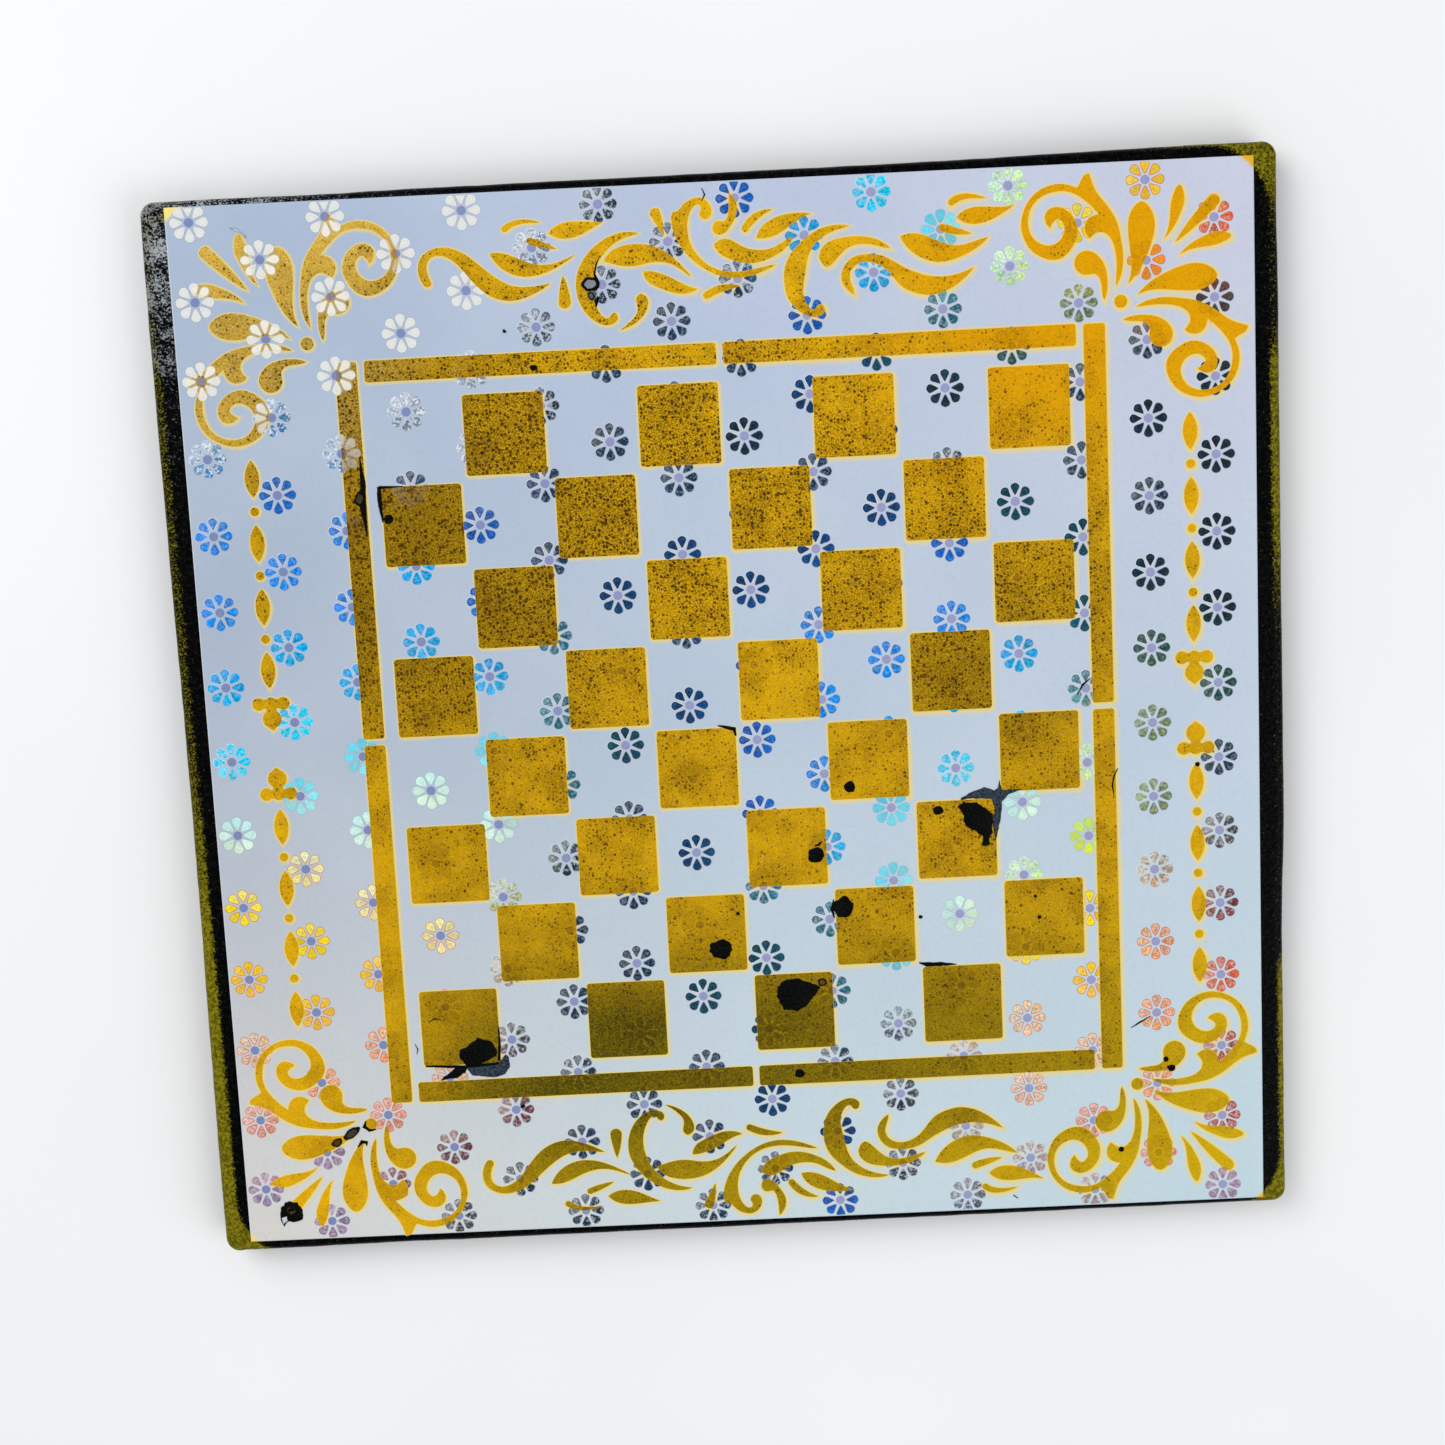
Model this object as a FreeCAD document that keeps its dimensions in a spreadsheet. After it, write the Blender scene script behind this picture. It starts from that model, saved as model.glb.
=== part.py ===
import FreeCAD, Part
import math
import os
import Sketcher

# A square draughts board: a painted wooden panel, a sheet of daisy film laid on its
# playing face, and gold paint sprayed on the film through a stencil.
#
# Frame: millimetres, +Z up, origin at the bottom centre of the panel.
# +X runs to the right and +Y to the back, as a seated player sees the board.
# Outlines of the gold marks are written in the stencil's own frame. It has its origin
# at the centre of the 8 by 8 grid and is laid on the film a little off centre.

doc = FreeCAD.newDocument("draughts_board")

DIMENSIONS = [
    # the painted panel
    ("board_width", 320.0),
    ("board_depth", 312.0),
    ("board_thickness", 12.0),
    ("board_corner_radius", 4.0),
    ("board_edge_radius", 2.5),
    # the film, a 12 inch sheet laid by hand and so a little turned
    ("film_width", 306.5),
    ("film_depth", 307.0),
    ("film_thickness", 0.2),
    ("film_corner_radius", 0.6),
    ("film_shift_x", 0.4),
    ("film_shift_y", 0.1),
    ("film_turn", -0.25),
    # the stencil and its paint
    ("stencil_shift_x", 2.0),
    ("stencil_shift_y", -1.2),
    ("paint_thickness", 0.1),
    ("cell", 25.0),
    ("square_side", 22.8),
    ("square_corner_radius", 0.8),
    ("bar_width", 5.9),
    ("bar_corner_radius", 0.7),
    ("side_bar_near_side", 103.5),
    ("end_bar_near_side", 104.05),
    ("bar_half_gap", 1.1),
    ("side_bar_end", 109.8),
    ("end_bar_end", 101.1),
    # the ornaments round the grid, placed about their own centre
    ("ornament_shift_x", -1.3),
    ("ornament_shift_y", 0.2),
    ("back_corner_half_shift", -0.45),
    ("front_left_slip_x", 0.4),
    ("front_left_slip_y", -0.9),
    ("front_right_slip_x", -0.4),
    ("corner_dot_place", 115.5),
    ("corner_dot_radius", 1.7),
    ("chain_reach", 134.4),
    ("chain_shift_y", -0.5),
    ("chain_pitch", 18.5),
    ("lens_length", 10.3),
    ("lens_width", 3.9),
    ("first_lens_place", 23.3),
    ("dot_radius", 1.15),
    ("first_dot_place", 32.4),
    ("lobe_radius", 1.75),
    ("lobe_spread", 3.55),
    ("lobe_row_place", 13.4),
    ("drop_radius", 2.6),
    ("drop_place", 8.9),
    ("drop_tip_place", 5.6),
]

dims = doc.addObject("Spreadsheet::Sheet", "dims")
for row, (alias, number) in enumerate(DIMENSIONS, start=1):
    dims.set(f"A{row}", alias)
    dims.set(f"B{row}", str(number))
    dims.setAlias(f"B{row}", alias)
doc.recompute()


def value(expression):
    """The number that an expression on the sheet comes to."""
    result = dims.evalExpression(expression)
    return float(getattr(result, "Value", result))


# ---------------------------------------------------------------- bodies and sketches

def new_body(name):
    """A body, which may hold several separate solids."""
    body = doc.addObject("PartDesign::Body", name)
    body.Label = name
    body.AllowCompound = True
    return body


def origin_plane(body, role):
    """One of a body's own origin planes or axes, found by its role."""
    for feature in body.Origin.OriginFeatures:
        if feature.Role == role:
            return feature
    raise RuntimeError(f"{body.Name} has no {role}")


def plan_sketch(body, name):
    """A sketch on the body's own XY plane."""
    sketch = body.newObject("Sketcher::SketchObject", name)
    sketch.AttachmentSupport = [(origin_plane(body, "XY_Plane"), "")]
    sketch.MapMode = "FlatFace"
    return sketch


def drive(sketch, constraint, name, expression):
    """Adds a named dimension to a sketch and ties it to the sheet."""
    index = sketch.addConstraint(constraint)
    sketch.renameConstraint(index, name)
    sketch.setExpression(f"Constraints.{name}", expression)


def rounded_rectangle(sketch, name, left, front, width, depth, radius):
    """A rectangle with equal round corners. Its sizes are expressions on the sheet."""
    low_x = value(left)
    low_y = value(front)
    high_x = low_x + value(width)
    high_y = low_y + value(depth)
    corner = value(radius)
    first = sketch.GeometryCount
    inner_x = (low_x + corner, high_x - corner)
    inner_y = (low_y + corner, high_y - corner)

    def line(start, end):
        sketch.addGeometry(Part.LineSegment(FreeCAD.Vector(*start, 0), FreeCAD.Vector(*end, 0)))

    def quarter(centre, start_angle):
        circle = Part.Circle(FreeCAD.Vector(*centre, 0), FreeCAD.Vector(0, 0, 1), corner)
        start = math.radians(start_angle)
        sketch.addGeometry(Part.ArcOfCircle(circle, start, start + math.pi / 2))

    line((inner_x[0], low_y), (inner_x[1], low_y))
    quarter((inner_x[1], inner_y[0]), 270)
    line((high_x, inner_y[0]), (high_x, inner_y[1]))
    quarter((inner_x[1], inner_y[1]), 0)
    line((inner_x[1], high_y), (inner_x[0], high_y))
    quarter((inner_x[0], inner_y[1]), 90)
    line((low_x, inner_y[1]), (low_x, inner_y[0]))
    quarter((inner_x[0], inner_y[0]), 180)

    for step in range(8):
        this_piece = first + step
        next_piece = first + (step + 1) % 8
        sketch.addConstraint(Sketcher.Constraint("Tangent", this_piece, 2, next_piece, 1))
    bottom, right, top, left_side = (first + step for step in (0, 2, 4, 6))
    for horizontal in (bottom, top):
        sketch.addConstraint(Sketcher.Constraint("Horizontal", horizontal))
    for vertical in (right, left_side):
        sketch.addConstraint(Sketcher.Constraint("Vertical", vertical))
    for arc in (3, 5, 7):
        sketch.addConstraint(Sketcher.Constraint("Equal", first + 1, first + arc))
    drive(sketch, Sketcher.Constraint("Radius", first + 1, corner), name + "_corner", radius)
    drive(sketch, Sketcher.Constraint("DistanceX", left_side, 1, low_x), name + "_left", left)
    drive(sketch, Sketcher.Constraint("DistanceY", bottom, 1, low_y), name + "_front", front)
    drive(sketch, Sketcher.Constraint("DistanceX", left_side, 2, right, 1, high_x - low_x),
          name + "_width", width)
    drive(sketch, Sketcher.Constraint("DistanceY", bottom, 2, top, 1, high_y - low_y),
          name + "_depth", depth)


def pad(body, sketch, name, thickness):
    """Raises a sketch by a thickness from the sheet."""
    feature = body.newObject("PartDesign::Pad", name)
    feature.Profile = sketch
    feature.setExpression("Length", thickness)
    doc.recompute()
    return feature


def place(feature, x, y, z):
    """Puts a sub-part where the sheet says."""
    feature.setExpression("Placement.Base.x", x)
    feature.setExpression("Placement.Base.y", y)
    feature.setExpression("Placement.Base.z", z)


def place_on_film(feature):
    """Puts a gold mark on top of the film, in the stencil's frame."""
    place(feature, "dims.stencil_shift_x", "dims.stencil_shift_y",
          "dims.board_thickness + dims.film_thickness")


# ---------------------------------------------------------------- the painted panel

def make_board_panel():
    """The wooden panel: round corners in plan, and both long arrises rounded over."""
    body = new_body("board_panel")
    sketch = plan_sketch(body, "panel_outline")
    rounded_rectangle(sketch, "panel", "-dims.board_width / 2", "-dims.board_depth / 2",
                      "dims.board_width", "dims.board_depth", "dims.board_corner_radius")
    block = pad(body, sketch, "panel_block", "dims.board_thickness")
    rounding = body.newObject("PartDesign::Fillet", "panel_round_over")
    rounding.Base = (block, face_edges(block.Shape))
    rounding.setExpression("Radius", "dims.board_edge_radius")
    body.Tip = rounding
    doc.recompute()
    return body


def face_edges(shape):
    """Names of the edges that lie flat round the top and bottom faces of a block."""
    names = []
    for number, edge in enumerate(shape.Edges, start=1):
        if edge.BoundBox.ZLength < 1e-6:
            names.append(f"Edge{number}")
    return names


# ---------------------------------------------------------------- the daisy film

def make_daisy_film():
    """The sheet of film with its foil daisies, square to within a quarter of a degree."""
    body = new_body("daisy_film")
    sketch = plan_sketch(body, "film_outline")
    rounded_rectangle(sketch, "film", "-dims.film_width / 2", "-dims.film_depth / 2",
                      "dims.film_width", "dims.film_depth", "dims.film_corner_radius")
    pad(body, sketch, "film_sheet", "dims.film_thickness")
    place(body, "dims.film_shift_x", "dims.film_shift_y", "dims.board_thickness")
    body.setExpression("Placement.Rotation.Angle", "dims.film_turn")
    doc.recompute()
    return body


# ---------------------------------------------------------------- gold squares and bars

def make_gold_squares():
    """The 32 gold playing squares: two in one sketch, repeated four by four."""
    body = new_body("gold_squares")
    sketch = plan_sketch(body, "square_pair")
    inset = "(dims.cell - dims.square_side) / 2"
    for name, column, row_number in (("low", -4, -4), ("high", -3, -3)):
        rounded_rectangle(sketch, name, f"{column} * dims.cell + {inset}",
                          f"{row_number} * dims.cell + {inset}", "dims.square_side",
                          "dims.square_side", "dims.square_corner_radius")
    squares = pad(body, sketch, "square_coat", "dims.paint_thickness")
    grid = body.newObject("PartDesign::MultiTransform", "square_grid")
    grid.Originals = [squares]
    steps = []
    for name, role in (("across", "X_Axis"), ("along", "Y_Axis")):
        step = body.newObject("PartDesign::LinearPattern", "squares_" + name)
        step.Direction = (origin_plane(body, role), [""])
        step.Mode = "Spacing"
        step.Occurrences = 4
        step.setExpression("Offset", "2 * dims.cell")
        steps.append(step)
    grid.Transformations = steps
    body.Tip = grid
    place_on_film(body)
    doc.recompute()
    return body


def make_gold_border_bars():
    """Eight bars round the grid: one quarter's two bars, mirrored both ways."""
    body = new_body("gold_border_bars")
    sketch = plan_sketch(body, "bar_pair")
    rounded_rectangle(sketch, "side", "dims.side_bar_near_side", "dims.bar_half_gap",
                      "dims.bar_width", "dims.side_bar_end - dims.bar_half_gap",
                      "dims.bar_corner_radius")
    rounded_rectangle(sketch, "end", "dims.bar_half_gap", "dims.end_bar_near_side",
                      "dims.end_bar_end - dims.bar_half_gap", "dims.bar_width",
                      "dims.bar_corner_radius")
    bars = pad(body, sketch, "bar_coat", "dims.paint_thickness")
    ring = body.newObject("PartDesign::MultiTransform", "bar_ring")
    ring.Originals = [bars]
    flips = []
    for name, role in (("sideways", "YZ_Plane"), ("lengthways", "XZ_Plane")):
        flip = body.newObject("PartDesign::Mirrored", "bars_" + name)
        flip.MirrorPlane = (origin_plane(body, role), [""])
        flips.append(flip)
    ring.Transformations = flips
    body.Tip = ring
    place_on_film(body)
    doc.recompute()
    return body


# ---------------------------------------------------------------- outlines of the ornaments

def smooth_edge(points):
    """A straight edge through two points, or a smooth curve through more."""
    if len(points) == 2:
        return Part.LineSegment(*points).toShape()
    curve = Part.BSplineCurve()
    curve.interpolate(points)
    return curve.toShape()


def paint_edges(edges):
    """Raises closed edges into a coat of paint."""
    face = Part.Face(Part.Wire(edges))
    return face.extrude(FreeCAD.Vector(0, 0, value("dims.paint_thickness")))


def shape_with_corners(*sides):
    """Paint inside an outline with a sharp corner at the end of each side. Each side
    is a list of points, and starts where the side before it ended."""
    edges = []
    for number, side in enumerate(sides):
        start = sides[number - 1][-1]
        edges.append(smooth_edge([FreeCAD.Vector(x, y, 0) for x, y in [start] + side]))
    return paint_edges(edges)


def round_dot(x, y, radius):
    """A round dot of paint."""
    return Part.makeCylinder(radius, value("dims.paint_thickness"), FreeCAD.Vector(x, y, 0))


def stroke(spine, tip):
    """A brush stroke: round at its first point and pointed at its tip. The spine's
    entries are x, y and half the stroke's width there."""
    centres = [FreeCAD.Vector(x, y, 0) for x, y, _ in spine]
    tip_point = FreeCAD.Vector(*tip, 0)
    curve = Part.BSplineCurve()
    curve.interpolate(centres + [tip_point])
    left = []
    right = []
    for centre, (_, _, half_width) in zip(centres, spine):
        along = curve.tangent(curve.parameter(centre))[0]
        across = FreeCAD.Vector(-along.y, along.x, 0) * (half_width / along.Length)
        left.append(centre + across)
        right.append(centre - across)
    backwards = curve.tangent(curve.FirstParameter)[0] * -1
    round_end = centres[0] + backwards * (spine[0][2] / backwards.Length)
    return paint_edges([Part.Arc(right[0], round_end, left[0]).toShape(),
                        smooth_edge(left + [tip_point]),
                        smooth_edge([tip_point] + right[::-1])])


def ornament(name, solids, flip_x=False, flip_y=False):
    """One gold ornament, mirrored about the ornaments' centre where asked."""
    coat = Part.makeCompound(solids)
    for wanted, normal in ((flip_x, (1, 0, 0)), (flip_y, (0, 1, 0))):
        if wanted:
            coat = coat.mirror(FreeCAD.Vector(0, 0, 0), FreeCAD.Vector(*normal))
    feature = doc.addObject("Part::Feature", name)
    feature.Label = name
    feature.Shape = coat
    place(feature, "dims.stencil_shift_x + dims.ornament_shift_x",
          "dims.stencil_shift_y + dims.ornament_shift_y",
          "dims.board_thickness + dims.film_thickness")
    doc.recompute()
    return feature


# ---------------------------------------------------------------- corner ornaments

def corner_half():
    """The marks on one side of the diagonal of the back right corner ornament."""
    long_leaf = shape_with_corners(
        [(118.65, 129.3), (118.1, 135.6), (119.3, 140.6), (121.9, 142.7), (124.6, 140.2),
         (125.4, 135.6), (124.1, 130.6), (121.4, 124.8), (117.8, 120.6)])
    short_ray = shape_with_corners(
        [(130.0, 138.7), (131.1, 144.5), (132.7, 146.8), (133.8, 144.3), (132.9, 139.6),
         (131.1, 136.0), (128.3, 132.6)])
    comma = shape_with_corners(
        [(111.7, 119.5), (111.7, 122.5), (111.1, 125.5), (109.3, 128.4), (106.3, 129.9),
         (103.7, 128.9), (102.8, 126.6), (103.7, 124.5), (105.9, 123.5), (108.4, 123.6),
         (109.7, 122.4), (110.3, 120.0), (110.9, 116.3)])
    scroll = shape_with_corners(
        # up the stem to the horn
        [(115.5, 122.5), (116.2, 125.5), (116.3, 129.0), (115.8, 133.0), (115.1, 136.5),
         (113.6, 140.0), (111.3, 143.3), (109.1, 146.3), (108.0, 149.0), (107.3, 151.2)],
        [(105.8, 150.4), (104.8, 148.6), (103.9, 147.4)],
        # round the ring and into the spiral
        [(101.8, 148.2), (99.3, 148.7), (96.8, 148.5), (93.8, 147.5), (91.3, 145.6),
         (89.5, 143.1), (88.4, 140.2), (88.1, 137.3), (88.8, 134.3), (90.5, 131.3),
         (92.8, 129.4), (95.8, 128.2), (98.8, 128.4), (100.9, 129.8), (102.5, 131.9),
         (103.6, 134.4), (103.6, 137.0), (102.5, 139.6), (100.7, 141.5), (98.3, 142.4),
         (96.2, 142.0), (94.9, 140.4), (95.1, 138.4), (96.1, 137.0)],
        # back out along the inner side of the ring
        [(96.9, 138.4), (98.3, 139.3), (99.6, 138.5), (100.3, 136.7), (99.9, 134.7),
         (98.5, 132.9), (96.1, 131.9), (93.5, 132.4), (91.5, 133.8), (90.1, 136.2),
         (89.8, 139.0), (90.4, 141.8), (92.0, 144.3), (94.5, 146.0), (97.3, 146.8),
         (100.3, 146.9), (103.1, 146.1), (105.7, 144.4), (108.2, 142.1), (110.1, 139.8)],
        # the leaflet, and down the stem again
        [(108.7, 139.6), (107.1, 138.8), (106.1, 137.3), (106.1, 135.3), (107.2, 133.6)],
        [(108.1, 134.4), (109.5, 135.1), (111.1, 135.0), (112.5, 134.1), (113.8, 132.0),
         (114.5, 129.0), (114.7, 125.5), (114.5, 122.5), (114.3, 120.1)])
    return [long_leaf, short_ray, comma, scroll]


def make_corner_ornament(name, flip_x, flip_y):
    """A corner ornament: the two halves either side of the diagonal, a long ray and a dot.
    In the back corners the half by the side chain lies a little nearer to it."""
    half = corner_half()
    half_shift = 0 if flip_y else value("dims.back_corner_half_shift")
    shift = FreeCAD.Vector(0, half_shift, 0)
    other_half = [mark.mirror(FreeCAD.Vector(0, 0, 0), FreeCAD.Vector(1, -1, 0)).translated(shift)
                  for mark in half]
    dot_place = value("dims.corner_dot_place")
    dot = round_dot(dot_place, dot_place, value("dims.corner_dot_radius"))
    long_ray = stroke([(142.2, 142.2, 1.6), (138.0, 138.0, 1.35), (134.5, 134.5, 0.8)],
                      (131.3, 131.3))
    return ornament(name, half + other_half + [dot, long_ray], flip_x, flip_y)


def slip(feature, slip_x, slip_y="0"):
    """Moves an ornament by the little that the stencil had slipped there."""
    place(feature, f"dims.stencil_shift_x + dims.ornament_shift_x + {slip_x}",
          f"dims.stencil_shift_y + dims.ornament_shift_y + {slip_y}",
          "dims.board_thickness + dims.film_thickness")
    return feature


# ---------------------------------------------------------------- end garlands

def garland_marks():
    """The marks of the back garland, from left to right, about the ornaments' centre."""
    marks = []

    # the left swoosh, hooked at its outer end, and the small leaves over it
    marks.append(stroke(
        [(-80.2, 130.6, 1.0), (-81.3, 133.6, 1.1), (-80.8, 136.8, 1.0), (-78.1, 138.9, 0.9),
         (-74.0, 138.8, 1.2), (-70.0, 136.5, 1.7), (-66.4, 132.8, 2.2), (-62.3, 129.0, 2.5),
         (-57.3, 126.7, 2.1), (-52.0, 126.8, 1.2)], (-45.6, 128.7)))
    marks.append(stroke([(-57.4, 144.5, 0.75), (-54.6, 145.9, 0.6), (-51.4, 146.3, 0.4)],
                        (-47.7, 145.8)))
    marks.append(shape_with_corners(
        [(-42.1, 144.8), (-36.8, 145.4), (-29.8, 145.0)],
        [(-32.7, 143.6), (-36.2, 141.9), (-40.9, 141.1), (-45.0, 142.7)]))
    marks.append(shape_with_corners(
        [(-59.1, 137.8), (-51.5, 134.8), (-45.6, 133.9), (-40.9, 135.1), (-38.0, 136.3)],
        [(-44.4, 132.8), (-49.1, 131.3), (-53.8, 131.3), (-59.1, 133.9), (-61.8, 137.8)]))
    marks.append(stroke([(-50.5, 140.8, 0.8), (-47.4, 139.7, 0.7)], (-43.3, 138.3)))
    marks.append(stroke([(-41.7, 123.3, 1.6), (-41.7, 126.8, 1.1)], (-41.8, 130.6)))

    marks.extend(crescent_and_drop())
    marks.extend(middle_marks())
    marks.extend(right_marks())
    return marks


def crescent_and_drop():
    """The left crescent, the two long leaves over it, the comma below and the drop above."""
    crescent = shape_with_corners(
        [(-25.7, 141.5), (-29.5, 140.1), (-32.9, 137.8), (-35.5, 135.0), (-37.2, 132.0),
         (-38.1, 128.8), (-38.0, 125.6), (-37.2, 122.6), (-35.4, 119.6), (-33.2, 117.6),
         (-30.8, 116.5), (-28.5, 116.7), (-27.1, 117.9), (-27.5, 119.4), (-28.8, 119.0)],
        [(-30.0, 118.1), (-31.3, 118.8), (-32.6, 120.8), (-33.6, 123.8), (-33.8, 127.0),
         (-33.1, 130.8), (-31.5, 134.3), (-29.0, 137.3), (-25.5, 139.7), (-19.8, 141.3)])
    upper_leaf = shape_with_corners(
        [(-27.4, 136.9), (-22.1, 138.3), (-16.3, 137.6), (-11.2, 134.7), (-7.9, 131.4),
         (-5.7, 128.7)],
        [(-8.1, 130.7), (-11.0, 132.5), (-16.3, 133.3), (-21.6, 132.5), (-26.0, 133.0),
         (-29.8, 134.2)])
    lower_leaf = shape_with_corners(
        [(-14.7, 130.0), (-9.9, 127.7), (-6.4, 125.8), (-4.0, 125.1)],
        [(-5.4, 124.5), (-9.8, 124.3), (-14.5, 126.0), (-18.2, 128.5), (-18.9, 130.7)])
    comma = shape_with_corners(
        [(-18.3, 122.8), (-18.9, 119.9), (-21.6, 116.9), (-26.3, 114.9)],
        [(-22.7, 117.5), (-21.0, 120.4), (-21.3, 123.4), (-20.1, 124.5)])
    drop = stroke([(-14.8, 146.7, 1.3), (-13.7, 143.8, 0.8)], (-12.7, 140.4))
    return [crescent, upper_leaf, lower_leaf, comma, drop]


def middle_marks():
    """The tall swoosh left of the middle, and the marks that fan out from its foot."""
    swoosh = shape_with_corners(
        [(14.0, 130.0), (9.7, 129.3), (5.5, 129.3), (1.5, 130.3), (-1.8, 132.4), (-4.2, 135.2),
         (-5.6, 138.2), (-6.1, 141.4), (-5.9, 144.2), (-5.1, 146.5), (-4.0, 148.0),
         (-2.8, 148.6), (-1.8, 148.1), (-1.7, 147.1), (-2.2, 145.9), (-1.4, 144.6),
         (-0.1, 144.6), (0.9, 145.9), (0.7, 147.8), (-0.5, 149.4), (-2.4, 150.2),
         (-4.4, 149.9), (-6.5, 148.7), (-8.0, 147.1), (-9.9, 146.6)],
        [(-10.2, 144.2), (-9.6, 140.8), (-7.7, 136.8), (-4.5, 133.0), (-0.6, 130.1),
         (3.4, 128.3), (7.5, 127.7), (12.0, 128.3), (18.3, 130.7)])
    comma = shape_with_corners(
        [(6.2, 148.6), (5.8, 145.4), (4.5, 143.3), (2.6, 143.5), (1.3, 141.8), (1.9, 140.3),
         (3.6, 140.0), (6.0, 142.0), (8.1, 146.0), (6.3, 151.1)])
    small_stroke = stroke([(10.3, 141.1, 0.85), (12.9, 143.9, 0.9)], (18.0, 146.0))
    upper_leaf = shape_with_corners(
        [(15.3, 141.5), (18.9, 143.6), (23.1, 144.5), (28.8, 144.3)],
        [(24.3, 142.3), (20.7, 140.0), (17.1, 138.5), (13.5, 138.5)])
    lower_leaf = shape_with_corners(
        [(5.7, 138.2), (9.3, 136.1), (13.5, 134.9), (18.3, 135.5), (21.9, 137.4),
         (23.6, 138.0)],
        [(21.3, 135.2), (17.1, 132.8), (11.7, 131.6), (6.3, 132.8), (2.7, 134.9),
         (1.5, 137.3)])
    low_stroke = stroke([(-1.5, 123.2, 0.85), (2.1, 124.7, 0.9)], (8.1, 125.3))
    return [swoosh, comma, small_stroke, upper_leaf, lower_leaf, low_stroke]


def right_marks():
    """The right crescent, the hooked swoosh beside it and the leaves over them."""
    crescent = shape_with_corners(
        [(34.5, 140.6), (29.7, 139.1), (25.5, 136.1), (22.5, 132.8), (21.0, 129.2),
         (20.8, 125.0), (21.9, 120.8), (24.3, 117.8), (27.6, 115.9), (30.4, 116.0),
         (31.6, 117.3), (31.0, 118.8), (29.6, 118.3)],
        [(28.3, 117.6), (27.1, 118.6), (26.0, 120.8), (25.8, 124.0), (26.5, 127.8),
         (27.3, 131.6), (28.6, 134.6), (31.2, 137.3), (34.8, 139.2), (39.6, 140.3)])
    comma = shape_with_corners(
        [(32.7, 135.5), (36.9, 137.0), (41.7, 137.3), (46.5, 136.4), (50.7, 133.7)],
        [(48.3, 134.3), (44.1, 135.3), (39.3, 134.6), (35.7, 131.6), (33.3, 129.6),
         (30.9, 132.2)])
    swoosh = shape_with_corners(
        [(38.1, 123.2), (37.0, 125.6), (37.5, 128.6), (39.9, 131.3), (44.1, 132.2),
         (48.3, 131.6), (53.1, 128.9), (58.5, 126.2), (64.4, 124.9), (69.2, 125.3),
         (74.3, 127.1)],
        [(70.4, 123.5), (66.2, 121.1), (61.4, 120.2), (57.3, 121.1), (54.3, 122.6),
         (51.9, 125.2), (49.5, 128.0), (45.9, 130.0), (42.3, 130.1), (39.9, 128.6),
         (39.0, 126.2), (39.6, 123.8), (40.2, 121.4)])
    long_leaf = shape_with_corners(
        [(60.2, 136.7), (65.0, 134.6), (69.2, 133.3), (74.0, 134.0), (78.5, 135.2)],
        [(74.6, 132.2), (69.8, 130.1), (65.0, 129.2), (59.6, 130.7), (56.1, 133.4),
         (54.0, 136.7)])
    upper_leaf = shape_with_corners(
        [(73.4, 143.3), (77.6, 143.6), (86.0, 143.7)],
        [(81.2, 140.9), (77.0, 139.4), (72.8, 139.5), (70.1, 141.2)])
    middle_stroke = stroke([(65.9, 138.5, 0.95), (69.2, 137.5, 0.85)], (73.7, 136.5))
    top_stroke = stroke([(68.6, 145.4, 0.8), (71.0, 146.6, 0.75), (74.0, 146.8, 0.5)],
                        (78.2, 146.1))
    return [crescent, comma, swoosh, long_leaf, upper_leaf, middle_stroke, top_stroke]


def make_garland(name, flip_y):
    """The row of leaves and strokes along one end of the board."""
    return ornament(name, garland_marks(), flip_y=flip_y)


# ---------------------------------------------------------------- side chains

def lens(x, y):
    """A pointed oval: what two equal circles have in common."""
    half_length = value("dims.lens_length") / 2
    half_width = value("dims.lens_width") / 2
    tip = (x, y + half_length)
    other_tip = (x, y - half_length)
    arcs = []
    for start, side, end in ((tip, -1, other_tip), (other_tip, 1, tip)):
        middle = FreeCAD.Vector(x + side * half_width, y, 0)
        arcs.append(Part.Arc(FreeCAD.Vector(*start, 0), middle,
                             FreeCAD.Vector(*end, 0)).toShape())
    return paint_edges(arcs)


def finial(x):
    """The fleur at the inner end of a chain: three lobes in a row and a pointed drop."""
    lobe_radius = value("dims.lobe_radius")
    row = value("dims.lobe_row_place")
    drop_y = value("dims.drop_place")
    drop_radius = value("dims.drop_radius")
    tip_y = value("dims.drop_tip_place")
    waist = lobe_radius * 0.75
    pieces = [round_dot(x + side * value("dims.lobe_spread"), row, lobe_radius)
              for side in (-1, 0, 1)]
    pieces.append(round_dot(x, drop_y, drop_radius))
    cross = Part.makeBox(2 * value("dims.lobe_spread"), 1.4 * lobe_radius,
                         value("dims.paint_thickness"),
                         FreeCAD.Vector(x - value("dims.lobe_spread"), row - 0.7 * lobe_radius, 0))
    neck = Part.makeBox(2 * waist, row - drop_y, value("dims.paint_thickness"),
                        FreeCAD.Vector(x - waist, drop_y, 0))
    point = shape_with_corners([(x + drop_radius * 0.8, drop_y - drop_radius * 0.6)],
                               [(x, tip_y)], [(x - drop_radius * 0.8, drop_y - drop_radius * 0.6)])
    for piece in (cross, neck, point):
        pieces.append(piece)
    whole = pieces[0].fuse(pieces[1:])
    return whole.removeSplitter()


def make_side_chain(name, flip_x):
    """Lenses and dots in turn along one side, with a finial each side of the middle."""
    x = value("dims.chain_reach")
    pitch = value("dims.chain_pitch")
    half = [lens(x, value("dims.first_lens_place") + step * pitch) for step in range(4)]
    for step in range(3):
        half.append(round_dot(x, value("dims.first_dot_place") + step * pitch,
                              value("dims.dot_radius")))
    half.append(finial(x))
    other_half = [mark.mirror(FreeCAD.Vector(0, 0, 0), FreeCAD.Vector(0, 1, 0))
                  for mark in half]
    chain = ornament(name, half + other_half, flip_x=flip_x)
    chain.setExpression("Placement.Base.y", "dims.stencil_shift_y + dims.chain_shift_y")
    doc.recompute()
    return chain


# ---------------------------------------------------------------- the assembly

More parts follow.
